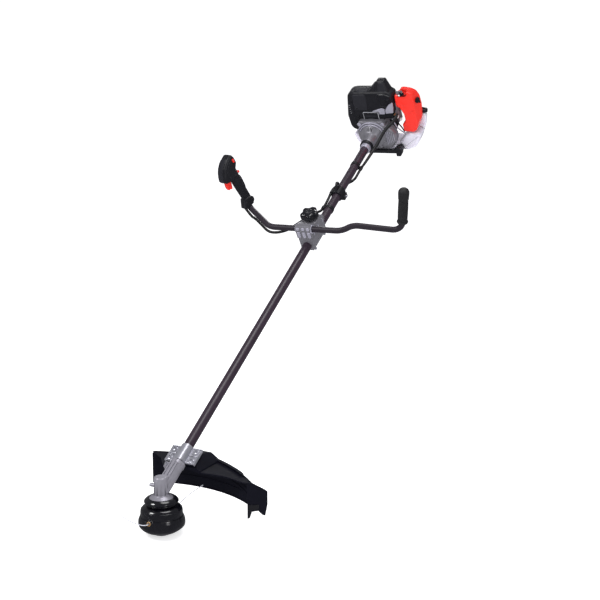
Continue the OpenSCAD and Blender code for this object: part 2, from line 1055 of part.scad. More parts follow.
drum_bearing_at = 1562;
drum_at = 1588;
housing_end = 1623.9;
flywheel_at = 1607;
crank_bearings_at = [1630, 1672];
case_from = 1629;
case_to = 1683;

module fan_outline(grow) {
    offset(r = grow)
        hull() {
            circle(57);
            translate([32, -8])
                circle(52);
        }
}

module clutch_housing() {
    color(cast)
        on_tube()
            difference() {
                union() {
                    rod(1508, 1556, 19);
                    rod(1530, 1541, 22.5);
                    rod(1552, 1576, 23, 27);
                    rod(1576, 1600, 27, 54);
                    along_slab(1598, housing_end)
                        fan_outline(0);
                    block([-48, 1606, 34], [48, housing_end, 50]);
                    intersection() {
                        ring_rod(1587, 1600, 50, 45);
                        block([-60, 1580, 14], [60, 1602, 70]);
                    }
                }
                rod(1500, tube_end + gap, tube_r + gap);
                rod(1550, 1573, 16.02);
                rod(1572, 1576, 18);
                rod(1575, 1587, 20, 34);
                rod(drum_at - 1.5, 1602, drum_r + 1.2);
                along_slab(1601, housing_end + 20)
                    fan_outline(-4);
                for (i = [-1.5:1:1.5])
                    rotate([0, i * 9, 0])
                        block([-1.3, 1582, 30], [1.3, 1590, 70]);
                for (x = [-44, 44])
                    translate([x, 1590, 44])
                        rotate([-90, 0, 0]) {
                            cylinder(h = 40, r = 2.55);
                            cylinder(h = 16, r = 4.9);
                        }
            }
}

module clutch_drum() {
    color(steel)
        on_tube()
            difference() {
                union() {
                    rod(drum_bearing_at - 2, drum_at + 4, 7.5);
                    rod(drum_at, drum_at + 16, drum_r);
                }
                rod(drum_at + 3.5, drum_at + 17, drum_r - 2.2);
                block([-3.1, 1550, -3.1], [3.1, drum_at, 3.1]);
            }
}

module clutch_shoes() {
    color(dark)
        on_tube()
            for (side = [-1, 1])
                difference() {
                    rod(drum_at + 4.5, drum_at + 15, drum_r - 3);
                    rod(drum_at, drum_at + 40, 14);
                    block([-60, drum_at, side > 0 ? -60 : -3], [60, drum_at + 40, side > 0 ? 3 : 60]);
                    translate([22, drum_at, side * 12])
                        rotate([-90, 0, 0])
                            cylinder(h = 40, r = 4.1);
                }
}

module flywheel() {
    fins = 16;
    color(cast)
        on_tube()
            difference() {
                union() {
                    rod(flywheel_at, flywheel_at + 8, flywheel_r);
                    rod(flywheel_at - 4, flywheel_at + 15, 13);
                    for (i = [0:fins - 1])
                        rotate([0, i * 360 / fins, 0])
                            block([-1, flywheel_at + 7, 26], [1, flywheel_at + 15, flywheel_r - 1]);
                    for (side = [-1, 1])
                        translate([22, flywheel_at - 12, side * 12])
                            rotate([-90, 0, 0])
                                cylinder(h = 14, r = 4);
                }
                rod(1590, 1640, 7.52);
            }
}

module crankcase() {
    color(cast)
        on_tube()
            difference() {
                union() {
                    along_slab(case_from, case_to)
                        hull() {
                            circle(38);
                            translate([-30, 20])
                                square([60, 20]);
                        }
                    block([-36, case_from, 34], [36, case_to, 40]);
                    block([-34, case_from + 4, -45], [34, case_to - 4, -30]);
                    along_slab(1624, case_from + 1)
                        fan_outline(0);
                    block([-48, 1624, 34], [48, case_from + 1, 50]);
                }
                rod(1620, case_to + 1, 17.52);
                // room for the tank below the front plate
                block([-70, tank_from - 0.1, -70], [90, case_from + 2, -42]);
                for (x = [-44, 44])
                    translate([x, 1620, 44])
                        rotate([-90, 0, 0])
                            cylinder(h = 12, r = 2.55);
                rod(1640.2, 1671.8, 27);
                translate([0, cylinder_at, 0])
                    cylinder(h = 60, r = bore_r + 3.1);
            }
}

module crankshaft() {
    color(steel)
        on_tube()
            difference() {
                union() {
                    rod(flywheel_at - 2, 1651, 7.5);
                    rod(1661, 1704, 7.5);
                    for (y = [[1641, 1650.6], [1661.4, 1671]])
                        intersection() {
                            rod(y[0], y[1], 25.5);
                            along_slab(y[0], y[1])
                                union() {
                                    translate([-11, -4])
                                        square([22, 34]);
                                    translate([-30, -30])
                                        square([60, 30]);
                                }
                        }
                    translate([0, 0, crank_throw])
                        rod(1650, 1662, 5.5);
                }
            }
}

module connecting_rod() {
    long = 62;
    color(steel)
        on_tube()
            translate([0, cylinder_at, crank_throw])
                difference() {
                    union() {
                        rod(-5, 5, 8);
                        translate([0, 0, long])
                            rod(-4.5, 4.5, 6.5);
                        block([-3, -3, 6], [3, 3, long - 5]);
                    }
                    rod(-6, 6, 5.55);
                    translate([0, 0, long])
                        rod(-6, 6, 4.05);
                }
}

piston_low = 66;
piston_top = 96;

module piston() {
    color(steel)
        on_tube()
            translate([0, cylinder_at, 0])
                difference() {
                    translate([0, 0, piston_low])
                        cylinder(h = piston_top - piston_low, r = bore_r - 0.05);
                    difference() {
                        translate([0, 0, piston_low - 1])
                            cylinder(h = piston_top - piston_low - 5, r = bore_r - 3);
                        translate([0, 0, crank_throw + 62])
                            rod(-19.5, 19.5, 4);
                    }
                    for (z = [piston_top - 4, piston_top - 7])
                        translate([0, 0, z])
                            difference() {
                                cylinder(h = 1.2, r = bore_r + 1);
                                translate([0, 0, -1])
                                    cylinder(h = 4, r = bore_r - 1.4);
                            }
                }
}

module cylinder_block() {
    color(cast)
        on_tube()
            translate([0, cylinder_at, 0])
                difference() {
                    union() {
                        translate([0, 0, 30])
                            cylinder(h = 82, r = bore_r + 3);
                        translate([-30, -26, 40.1])
                            cube([60, 52, 5]);
                        for (z = [52:7:108])
                            translate([-34, -24, z])
                                cube([68, 48, 2]);
                        translate([0, 0, 112])
                            cylinder(h = 6, r1 = bore_r + 3, r2 = 12);
                        cross_rod([-42.9, 0, 74], 26, 11);
                        cross_rod([17, 0, 74], 20, 11);
                    }
                    translate([0, 0, 20])
                        cylinder(h = piston_top - 18.5, r = bore_r);
                    cross_rod([-44, 0, 74], 24, 7);
                    cross_rod([20, 0, 74], 18, 7);
                    translate([0, 0, 90])
                        cylinder(h = 40, r = 5.05);
                }
}

module spark_plug() {
    color(milk)
        on_tube()
            translate([0, cylinder_at, 0]) {
                translate([0, 0, 99])
                    cylinder(h = 19.2, r = 5);
                translate([0, 0, 118.1])
                    cylinder(h = 7, r = 8.5, $fn = 6);
                translate([0, 0, 125])
                    cylinder(h = 4, r = 5);
            }
    color(rubber)
        on_tube()
            translate([0, cylinder_at, 129.1]) {
                cylinder(h = 14, r = 9);
                translate([0, 0, 8])
                    cross_rod([0, 0, 0], 42, 5);
            }
}

// ---------- covers, exhaust ----------

cover_front = 1620;
cover_back = 1672;
cover_top_h = 160;

module cover_outline(grow) {
    offset(r = grow)
        union() {
            hull() {
                translate([-44, cover_top_h - 14])
                    circle(14);
                translate([76, cover_top_h - 22])
                    circle(14);
                translate([-58, 52])
                    square([1, 1]);
                translate([88, 80])
                    square([1, 1]);
                translate([76, 52])
                    square([1, 1]);
            }
            hull() {
                translate([6, 140])
                    square([84, 1]);
                translate([34, 192])
                    square([32, 1]);
            }
        }
}

module engine_cover() {
    color(black)
        on_tube()
            difference() {
                along_slab(cover_front + 3, cover_back)
                    cover_outline(0);
                along_slab(cover_front + 6, cover_back + 5)
                    cover_outline(-3);
                // room for the fan housing
                along_slab(cover_front - 5, case_from + 1.4)
                    fan_outline(0.3);
                block([-40, cover_front + 8, 20], [50, cover_back + 1, 62]);
                // cooling slots above the badge
                for (i = [0:4])
                    block([-36 + i * 9, cover_front - 1, 100], [-32 + i * 9, cover_front + 10, 128]);
                block([49, cover_front + 9.9, 48], [100, cover_back + 8, 101.5]);
                block([-62, cover_front + 10, 40], [-40, cover_back + 5, 124]);
            }
}

module muffler() {
    color(steel)
        on_tube()
            difference() {
                along_slab(1634, 1668)
                    translate([-59, 82])
                        rounded_rect(32, 76, 8);
                along_slab(1636, 1666)
                    translate([-59, 82])
                        rounded_rect(28, 72, 6);
                cross_rod([-48, cylinder_at, 74], 10, 6.5);
                cross_rod([-80, cylinder_at, 58], 10, 4);
            }
}

module muffler_guard() {
    color(black)
        on_tube()
            difference() {
                along_slab(cover_front + 2, cover_back - 2)
                    guard_face(0);
                along_slab(cover_front + 5, cover_back + 3)
                    guard_face(-3);
                block([-58.6, cover_front, -30], [-20, cover_back + 4, 170]);
                for (i = [0:3])
                    block([-76, cover_front - 1, 72 + i * 9], [-70, cover_front + 8, 77 + i * 9]);
                for (i = [0:5])
                    block([-100, 1632, 60 + i * 11], [-76, 1664, 65 + i * 11]);
            }
}

module guard_face(grow) {
    offset(r = grow)
        hull() {
            translate([-54, 136])
                circle(28);
            translate([-64, 60])
                circle(26);
            translate([-62, 28])
                circle(26);
            translate([-46, 20])
                circle(20);
            translate([-40, 138])
                circle(20);
        }
}

// ---------- carburettor and air filter ----------

carb_h = 74;

module carburettor() {
    color(cast)
        on_tube()
            difference() {
                union() {
                    block([37.2, 1640, 56], [46, 1672, 92]);
                    block([46, 1640, 54], [86, 1668, 94]);
                    cross_rod([86, cylinder_at - 2, carb_h], 8, 13);
                    block([92, 1636, 34], [96, 1666, 108]);
                    block([92, 1638, 100], [118, 1642, 110]);
                    block([104, 1638, 100], [127, 1642, 156]);
                    translate([66, cylinder_at, 94])
                        cylinder(h = 7, r = 10);
                    translate([66, cylinder_at - 2, 40])
                        cylinder(h = 15, r = 13.4);
                    block([86, 1630, 64], [92, 1642, 84]);
                }
                cross_rod([30, cylinder_at - 2, carb_h], 70, 7);
                translate([66, 1630, 84])
                    rotate([-90, 0, 0])
                        cylinder(h = 50, r = 2.05);
                translate([120, 1630, 149])
                    rotate([-90, 0, 0])
                        cylinder(h = 20, r = 4.05);
                translate([66, cylinder_at - 2, 39])
                    cylinder(h = 10.5, r = 11.4);
            }
}

module throttle_lever() {
    color(brass)
        on_tube()
            translate([66, 0, 84]) {
                rod(1632, 1644, 2);
                translate([0, 1634, 0])
                    rotate([90, 0, 0])
                        linear_extrude(2)
                            hull() {
                                circle(5);
                                translate([13, 8])
                                    circle(3);
                            }
            }
}

module choke_lever() {
    color(black)
        on_tube()
            translate([120, 1628, 149]) {
                rotate([-90, 0, 0])
                    cylinder(h = 15, r = 4);
                rotate([90, 0, 0])
                    linear_extrude(4)
                        hull() {
                            circle(5);
                            translate([13, 4])
                                circle(5.5);
                        }
            }
}

module primer_bulb() {
    color(milk)
        on_tube()
            translate([66, cylinder_at - 2, 45])
                mirror([0, 0, 1])
                    rotate_extrude()
                        polygon([
                            [0, 0], [11, 0], [11, 3], [9.5, 8], [6.5, 11.5], [0, 13]
                        ]);
}

slant_at = [162, 1632];
slant_turn = 23;
knob_dir = [cos(slant_turn), -sin(slant_turn), 0];
knob_place = [169.4, 1650, 114];

module filter_side(grow) {
    offset(r = grow)
        polygon([
            [108, -4], [140, -6], [152, 0], [171, 40], [178, 90], [176, 124],
            [166, 146], [146, 154], [118, 159], [106, 152], [98, 130], [98, 98],
            [112, 86], [120, 60], [116, 30], [106, 16]
        ]);
}

// Keeps what lies inside the slanted right-hand side of the filter cover
module beside_slant(shift) {
    translate([slant_at[0] - shift, slant_at[1], -50])
        rotate(-slant_turn)
            translate([-300, -200, 0])
                cube([300, 400, 300]);
}

module filter_cover() {
    color(red)
        on_tube()
            difference() {
                intersection() {
                    along_slab(1632, 1670)
                        filter_side(0);
                    beside_slant(0);
                }
                intersection() {
                    along_slab(1635, 1667)
                        intersection() {
                            filter_side(-3);
                            translate([0, 33])
                                square([300, 300]);
                        }
                    beside_slant(3);
                }
                block([90, 1635.2, 33], [104, 1666.8, 113]);
                block([90, 1625, 143], [140, 1652, 170]);
                block([100, 1637, 96], [130, 1643, 160]);
                aim(knob_place, knob_dir)
                    translate([0, 0, -14])
                        cylinder(h = 30, r = 4.1);
            }
}

module filter_foam() {
    color(dark)
        on_tube()
            block([129, 1638, 44], [150, 1664, 104]);
}

module cover_knob() {
    color(black)
        on_tube()
            aim(knob_place, knob_dir) {
                translate([0, 0, -13])
                    cylinder(h = 15, r = 4);
                translate([0, 0, 0.4]) {
                    cylinder(h = 4, r = 10);
                    translate([0, 0, 3])
                        linear_extrude(6)
                            square([21, 6], center = true);
                }
            }
}

// ---------- fuel ----------

tank_from = 1626;
tank_to = 1690;
wing_from = 1671;
wing_h = -10;
filler_at = [171, 1682, 38];
filler_dir = unit([0.2, 0.1, 1]);

module tank_side(grow) {
    offset(r = grow)
        polygon([
            [-78, -34], [-84, -26], [-86, -12], [-78, -6], [-68, -14], [-56, -46],
            [64, -46], [84, -42], [100, -26], [112, -14], [122, -9], [140, -9],
            [152, 8], [164, 34], [168, 46], [176, 44], [180, 34], [172, 0],
            [148, -52], [134, -70], [112, -78], [-40, -78], [-64, -66]
        ]);
}

module tank_solid(grow) {
    along_slab(tank_from - grow, tank_to + grow)
        intersection() {
            tank_side(grow);
            translate([-150, wing_h - 200 + grow])
                square([400, 200]);
        }
    along_slab(wing_from - grow, tank_to + grow)
        tank_side(grow);
}

module fuel_tank() {
    color(milk)
        on_tube()
            difference() {
                union() {
                    tank_solid(0);
                    aim(filler_at, filler_dir)
                        cylinder(h = 12, r = 8);
                }
                tank_solid(-2.2);
                aim(filler_at - 10 * filler_dir, filler_dir)
                    cylinder(h = 26, r = 6);
            }
}

module fuel_cap() {
    color(black)
        on_tube()
            aim(filler_at + 2 * filler_dir, filler_dir)
                difference() {
                    union() {
                        translate([0, 0, 7])
                            cylinder(h = 11, r = 11.5);
                        translate([0, 0, 17])
                            linear_extrude(5)
                                square([20, 5], center = true);
                    }
                    translate([0, 0, 5])
                        cylinder(h = 5.2, r = 8.2);
                }
}

module tank_stand() {
    color(black)
        on_tube() {
            block([-36, 1630, -86], [36, 1684, -78.1]);
            for (side = [-1, 1])
                block([side * 36 - 5, 1620, -86], [side * 36 + 5, 1704, -78.1]);
            block([-41, 1614, -86], [88, 1622, -72]);
            block([50, 1588, -76], [88, 1622, -62.5]);
            block([0, 1584, -64], [62, 1596, -52.5]);
            block([72, 1598, -78], [96, 1614, -50]);
        }
}

// ---------- recoil starter ----------

pulley_r = 24;

module recoil_housing() {
    color(dark)
        on_tube()
            difference() {
                union() {
                    rod(1692.4, 1730, starter_r, starter_r - 6);
                    cross_rod([-starter_r + 2, 1712, 34], 20, 11);
                    rod(1684, 1694, 44);
                }
                rod(1683, 1727, 40);
                rod(1694, 1720, starter_r - 3);
                cross_rod([-starter_r - 20, 1712, 34], 60, 3.2);
                for (i = [0:11])
                    rotate([0, i * 30, 0])
                        block([-3, 1716, 42], [3, 1740, 52]);
            }
}

module starter_pulley() {
    color(steel)
        on_tube()
            difference() {
                union() {
                    rod(1706.2, 1709, pulley_r + 10);
                    rod(1708, 1716, pulley_r);
                    rod(1715, 1717.8, pulley_r + 10);
                }
                rod(1700, 1720, 6);
            }
}

module starter_handle() {
    color(black)
        on_tube()
            translate([-starter_r - 3, 1712, 34])
                rotate([0, -90, 0])
                    difference() {
                        union() {
                            cylinder(h = 8, r = 8);
                            translate([0, 0, 7])
                                linear_extrude(12)
                                    rounded_rect(13, 40, 6);
                        }
                        translate([0, 0, -1])
                            cylinder(h = 12, r = 2.2);
                    }
}

// ---------- assembly ----------

gear_case();
ball_bearings();
cap_screws();
output_shaft();
output_gear();
pinion_gear();
anti_wrap_cup();
head_cover();
head_housing();
line_eyelets();
cutting_line();
line_spool();
spool_spring();
bump_knob();
guard();
line_cutter_blade();
guard_bracket();
main_tube();
drive_shaft();
shaft_bushes();
harness_bracket();
cable_clips();
handlebar_base();
handlebar_cap();
clamp_knob();
handlebar();
plain_grip();
throttle_handle_outer();
throttle_handle_inner();
throttle_trigger();
safety_lever();
stop_switch();
start_lock_button();
throttle_cable();
clutch_housing();
clutch_drum();
clutch_shoes();
flywheel();
crankcase();
crankshaft();
connecting_rod();
piston();
cylinder_block();  // cylinder
spark_plug();
engine_cover();
muffler();
muffler_guard();
carburettor();
throttle_lever();
choke_lever();
primer_bulb();
filter_foam();
filter_cover();
cover_knob();
fuel_tank();
fuel_cap();
tank_stand();
recoil_housing();
starter_pulley();
starter_handle();
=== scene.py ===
"""Looks of the petrol brush cutter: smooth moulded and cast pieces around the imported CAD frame."""
import json
import math

import bmesh
import bpy
from mathutils import Matrix, Vector


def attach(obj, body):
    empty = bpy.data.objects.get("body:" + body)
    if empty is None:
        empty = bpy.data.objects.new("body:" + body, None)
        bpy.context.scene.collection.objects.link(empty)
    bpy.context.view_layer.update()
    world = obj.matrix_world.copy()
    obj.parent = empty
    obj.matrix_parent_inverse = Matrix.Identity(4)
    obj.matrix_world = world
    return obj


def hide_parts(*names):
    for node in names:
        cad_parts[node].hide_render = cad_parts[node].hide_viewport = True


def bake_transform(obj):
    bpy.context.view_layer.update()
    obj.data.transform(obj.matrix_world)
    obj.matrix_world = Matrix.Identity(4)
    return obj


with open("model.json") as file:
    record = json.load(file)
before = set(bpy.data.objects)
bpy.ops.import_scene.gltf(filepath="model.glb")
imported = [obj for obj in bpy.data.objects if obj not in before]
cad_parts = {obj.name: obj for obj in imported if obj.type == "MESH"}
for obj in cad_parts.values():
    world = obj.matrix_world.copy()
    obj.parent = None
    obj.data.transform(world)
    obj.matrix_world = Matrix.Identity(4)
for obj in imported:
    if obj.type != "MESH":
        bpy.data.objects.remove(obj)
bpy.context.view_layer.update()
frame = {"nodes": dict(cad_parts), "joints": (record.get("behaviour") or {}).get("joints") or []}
MM = 0.001
FLAT_RIM = 0.7           # narrow flat ring inside each rounded rim, so the flat end shades flat
SHARP = 38               # edges steeper than this many degrees stay sharp
EYE_Z = 47               # height of the line eyelets above the ground
EYE_TURNS = (-89, 91)    # where they sit round the head, degrees
HUB_L, HUB_H = 1008, 58  # handlebar centre in its clamp
CAMERA_AT = (1.5491, -2.2215, 1.1120)
CAMERA_AZIMUTH, CAMERA_ELEVATION = 27.28, 10.44
JOINT = {j["name"]: j for j in frame["joints"]}
NODES = frame["nodes"]


# ---------- frames: millimetres in local axes to world metres ----------

def axes(origin, x, y, z):
    o, x, y, z = Vector(origin), Vector(x), Vector(y), Vector(z)
    return lambda a, b, c: o + MM * (a * x + b * y + c * z)


ALONG = Vector(JOINT["driveline_spin"]["axis"]).normalized()
ACROSS = Vector((1, 0, 0))
ABOVE = ACROSS.cross(ALONG)
APEX = Vector(JOINT["driveline_spin"]["pos_m"])
tube_place = axes(APEX, ACROSS, ALONG, ABOVE)          # across, along the tube, above the tube
head_place = axes((0, 0, 0), (1, 0, 0), (0, 1, 0), (0, 0, 1))

H_X = Vector(JOINT["trigger_pull"]["axis"]).normalized()
H_Z = Vector(JOINT["stop_switch_slide"]["axis"]).normalized()
H_Y = -Vector(JOINT["start_lock_press"]["axis"]).normalized()
PIVOT_Y, PIVOT_Z = -19, 117
H_O = Vector(JOINT["trigger_pull"]["pos_m"]) - MM * (PIVOT_Y * H_Y + PIVOT_Z * H_Z)
handle_place = axes(H_O, H_X, H_Y, H_Z)                # z up the handle, -y towards the fingers


def on_slab(u, v, s):
    """Outline across and above, thickness along the tube."""
    return tube_place(u, s, v)


def turned(place, at, direction):
    """Local frame whose third axis is direction, both given in the axes of place."""
    o = place(*at)
    z = (place(*[a + d for a, d in zip(at, direction)]) - o).normalized()
    x = z.cross(Vector((0.31, 0.52, 0.8))).normalized()
    return axes(o, x, z.cross(x), z)


# ---------- outlines ----------

def rounded(points, radii, n=5):
    """Closed outline with its corners replaced by arcs."""
    count, out = len(points), []
    radii = radii if isinstance(radii, (list, tuple)) else [radii] * count
    for i, p in enumerate(points):
        a, b, c = (Vector(points[(i + k) % count]) for k in (-1, 0, 1))
        u, v = (a - b), (c - b)
        half = u.angle(v) / 2
        room = 0.49 * min(u.length, v.length)
        r = min(radii[i], room * math.tan(half))
        if r < 0.2 or half > 1.53:
            out.append(b)
            continue
        u.normalize()
        v.normalize()
        centre = b + (u + v).normalized() * r / math.sin(half)
        start = b + u * r / math.tan(half) - centre
        stop = b + v * r / math.tan(half) - centre
        turn = start.angle_signed(stop)
        for k in range(n + 1):
            w = -turn * k / n
            out.append(centre + Vector((start.x * math.cos(w) - start.y * math.sin(w),
                                        start.x * math.sin(w) + start.y * math.cos(w))))
    return out


def shrunk(points, d):
    """Outline moved inwards by d (outwards when negative), keeping its number of points."""
    count = len(points)
    area = sum(points[i].cross(points[(i + 1) % count]) for i in range(count))
    side = 1 if area > 0 else -1
    out = []
    for i, p in enumerate(points):
        u = (p - points[i - 1])
        v = (points[(i + 1) % count] - p)
        u = u.normalized() if u.length > 1e-6 else v.normalized()
        v = v.normalized() if v.length > 1e-6 else u
        t = (u + v).normalized() if (u + v).length > 1e-6 else u
        k = max(0.5, t.dot(u))
        out.append(p + side * d / k * Vector((-t.y, t.x)))
    for _ in range(12):
        turned_back = [i for i in range(count)
                       if (out[(i + 1) % count] - out[i]).dot(points[(i + 1) % count] - points[i]) < 0]
        if not turned_back:
            break
        for i in turned_back:
            j = (i + 1) % count
            out[i] = out[j] = (out[i] + out[j]) / 2
    return out


def round_ring(place, r, s, n):
    return [place(r * math.cos(math.tau * k / n), r * math.sin(math.tau * k / n), s) for k in range(n)]


def hull_of(circles, n=96):
    """Convex outline around circles given as (x, y, r)."""
    out = []
    for i in range(n):
        a = math.tau * i / n
        d = Vector((math.cos(a), math.sin(a)))
        x, y, r = max(circles, key=lambda c: c[0] * d.x + c[1] * d.y + c[2])
        out.append(Vector((x, y)) + r * d)
    return out


def smooth_curve(points, n=6):
    """Route through all the points given (Catmull-Rom)."""
    pts = [Vector(p) for p in points]
    out = []
    for i in range(len(pts) - 1):
        a, b, c, d = pts[max(i - 1, 0)], pts[i], pts[i + 1], pts[min(i + 2, len(pts) - 1)]
        for k in range(n):
            t = k / n
            out.append(0.5 * (2 * b + (c - a) * t + (2 * a - 5 * b + 4 * c - d) * t * t
                              + (3 * b - a - 3 * c + d) * t ** 3))
    return out + [pts[-1]]


# ---------- shapes ----------

class Shape:
    """Collects solids, each with a material, and becomes one Blender piece."""

    def __init__(self, *materials):
        self.materials, self.verts, self.faces, self.slots = materials, [], [], []

    def loft(self, rings, mat=0, caps=True, close=False):
        base, n = len(self.verts), len(rings[0])
        for ring in rings:
            self.verts += [tuple(p) for p in ring]
        last = len(rings) if close else len(rings) - 1
        for i in range(last):
            j = (i + 1) % len(rings)
            for k in range(n):
                m = (k + 1) % n
                self.face([base + i * n + k, base + j * n + k, base + j * n + m, base + i * n + m], mat)
        if caps and not close:
            self.face([base + k for k in range(n)], mat)
            self.face([base + (len(rings) - 1) * n + k for k in reversed(range(n))], mat)
        return self

    def face(self, corners, mat):
        self.faces.append(corners)
        self.slots.append(mat)

    def slab(self, place, outline, low, high, edge=1.0, mat=0, edge_low=None, warp=None, n=4):
        """Outline with rounded rims, from low to high along the third axis of place."""
        e0 = edge if edge_low is None else edge_low
        steps = [(e0 * (1 - math.sin(a)), low + e0 * (1 - math.cos(a)))
                 for a in [math.pi / 2 * i / n for i in range(n + 1)]] if e0 > 0 else [(0, low)]
        steps += [(edge * (1 - math.cos(a)), high - edge * (1 - math.sin(a)))
                  for a in [math.pi / 2 * i / n for i in range(n + 1)]] if edge > 0 else [(0, high)]
        steps = [(e0 + FLAT_RIM, low)] + steps + [(edge + FLAT_RIM, high)] if max(e0, edge) > 0 else steps
        rings = []
        for d, s in steps:
            pts = [(p.x, p.y, s) for p in (shrunk(outline, d) if d > 0 else outline)]
            rings.append([place(*(warp(*q) if warp else q)) for q in pts])
        return self.loft(rings, mat)

    def lathe(self, place, profile, mat=0, sides=64, lobes=None, caps=True):
        """Profile of (radius, position) turned about the third axis of place."""
        rings = []
        for r, s in profile:
            ring = []
            for k in range(sides):
                a = math.tau * k / sides
                q = r if lobes is None else lobes(r, s, a)
                ring.append(place(q * math.cos(a), q * math.sin(a), s))
            rings.append(ring)
        return self.loft(rings, mat, caps)

    def sweep(self, place, route, radius, mat=0, sides=14, ridge=None):
        pts = [place(*p) for p in route]
        side, rings = None, []
        for i, p in enumerate(pts):
            t = (pts[min(i + 1, len(pts) - 1)] - pts[max(i - 1, 0)]).normalized()
            side = t.orthogonal() if side is None else side - t * side.dot(t)
            side.normalize()
            up = t.cross(side)
            r = MM * (radius if ridge is None else ridge(i, radius))
            turns = [math.tau * k / sides for k in range(sides)]
            rings.append([p + r * (side * math.cos(a) + up * math.sin(a)) for a in turns])
        return self.loft(rings, mat)

    def mesh(self, name):
        data = bpy.data.meshes.new(name)
        data.from_pydata(self.verts, [], self.faces)
        for m in self.materials:
            data.materials.append(m)
        data.polygons.foreach_set("material_index", self.slots)
        bm = bmesh.new()
        bm.from_mesh(data)
        bmesh.ops.recalc_face_normals(bm, faces=bm.faces)
        bm.to_mesh(data)
        bm.free()
        return data

    def piece(self, name, body, stands_for=(), sharp=SHARP, blend=None):
        """Makes the Blender object, rides it on body and lets it stand for the CAD nodes named."""
        data = self.mesh(name)
        data.shade_smooth()
        data.set_sharp_from_angle(angle=math.radians(sharp))
        obj = bpy.data.objects.new(name, data)
        bpy.context.scene.collection.objects.link(obj)
        if blend:
            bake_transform(obj)
        else:
            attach(obj, body)
        if stands_for:
            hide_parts(*stands_for)
        return obj


def cut(obj, shape):
    """Takes a shape out of a piece."""
    tool = bpy.data.objects.new("cutter", shape.mesh("cutter"))
    bpy.context.scene.collection.objects.link(tool)
    mod = obj.modifiers.new("cut", "BOOLEAN")
    mod.operation, mod.solver, mod.object = "DIFFERENCE", "EXACT", tool
    mod.use_self = True
    depsgraph = bpy.context.evaluated_depsgraph_get()
    result = bpy.data.meshes.new_from_object(obj.evaluated_get(depsgraph))
    obj.modifiers.remove(mod)
    obj.data = result
    result.set_sharp_from_angle(angle=math.radians(SHARP))
    bpy.data.objects.remove(tool)


# ---------- materials ----------

def finish(name, colour, rough, metal=0.0, coat=0.0, grain=900.0, bump=0.12, blotch=0.12,
           wear=None, wear_amount=0.5, edge=0.8, stretch=(1, 1, 1), soft=0.0, spec=0.5):
    """Procedural finish: fine grain in the bump, slow change in colour and gloss, worn edges."""
    m = bpy.data.materials.new(name)
    m.use_nodes = True
    t = m.node_tree
    n, link = t.nodes, t.links.new
    b = n["Principled BSDF"]

    def node(kind, **values):
        x = n.new(kind)
        for k, v in values.items():
            if k in x.inputs:
                x.inputs[k].default_value = v
            else:
                setattr(x, k, v)
        return x

    coord = node("ShaderNodeTexCoord")
    mapping = node("ShaderNodeMapping", Scale=stretch)
    link(coord.outputs["Object"], mapping.inputs["Vector"])
    fine = node("ShaderNodeTexNoise", Scale=grain, Detail=4.0, Roughness=0.6)
    slow = node("ShaderNodeTexNoise", Scale=23.0, Detail=3.0, Roughness=0.55)
    link(mapping.outputs["Vector"], fine.inputs["Vector"])
    link(coord.outputs["Object"], slow.inputs["Vector"])
    shade = node("ShaderNodeMapRange")
    shade.inputs["To Min"].default_value = 1 - blotch
    shade.inputs["To Max"].default_value = 1 + blotch
    link(slow.outputs["Fac"], shade.inputs["Value"])
    tint = node("ShaderNodeVectorMath", operation="SCALE")
    tint.inputs[0].default_value = colour
    link(shade.outputs["Result"], tint.inputs["Scale"])
    gloss = node("ShaderNodeMapRange")
    gloss.inputs["To Min"].default_value = max(0.02, rough * (1 - 1.6 * blotch))
    gloss.inputs["To Max"].default_value = min(1.0, rough * (1 + 1.6 * blotch))
    link(fine.outputs["Fac"], gloss.inputs["Value"])
    bevel = node("ShaderNodeBevel", samples=4)
    bevel.inputs["Radius"].default_value = edge * MM
    bumped = node("ShaderNodeBump", Strength=bump, Distance=0.0004)
    link(fine.outputs["Fac"], bumped.inputs["Height"])
    link(bevel.outputs["Normal"], bumped.inputs["Normal"])
    link(bumped.outputs["Normal"], b.inputs["Normal"])
    base, roughness = tint.outputs["Vector"], gloss.outputs["Result"]
    if wear:
        geometry = node("ShaderNodeNewGeometry")
        dot = node("ShaderNodeVectorMath", operation="DOT_PRODUCT")
        link(bevel.outputs["Normal"], dot.inputs[0])
        link(geometry.outputs["Normal"], dot.inputs[1])
        mask = node("ShaderNodeMapRange")
        mask.inputs["From Min"].default_value = 0.985
        mask.inputs["From Max"].default_value = 0.80
        mask.inputs["To Max"].default_value = wear_amount
        link(dot.outputs["Value"], mask.inputs["Value"])
        patch = node("ShaderNodeMath", operation="MULTIPLY")
        link(mask.outputs["Result"], patch.inputs[0])
        link(slow.outputs["Fac"], patch.inputs[1])
        mix = node("ShaderNodeMix", data_type="RGBA")
        link(patch.outputs["Value"], mix.inputs[0])
        link(base, mix.inputs[6])
        mix.inputs[7].default_value = (*wear, 1)
        base = mix.outputs[2]
    link(base, b.inputs["Base Color"])
    link(roughness, b.inputs["Roughness"])
    b.inputs["Metallic"].default_value = metal
    b.inputs["Coat Weight"].default_value = coat
    b.inputs["Coat Roughness"].default_value = 0.12
    b.inputs["Specular IOR Level"].default_value = spec
    if soft:
        b.inputs["Subsurface Weight"].default_value = soft
        b.inputs["Subsurface Radius"].default_value = (0.012, 0.011, 0.012)
        b.inputs["Subsurface Scale"].default_value = 1.0
    m.diffuse_color = (*colour, 1)
    return m


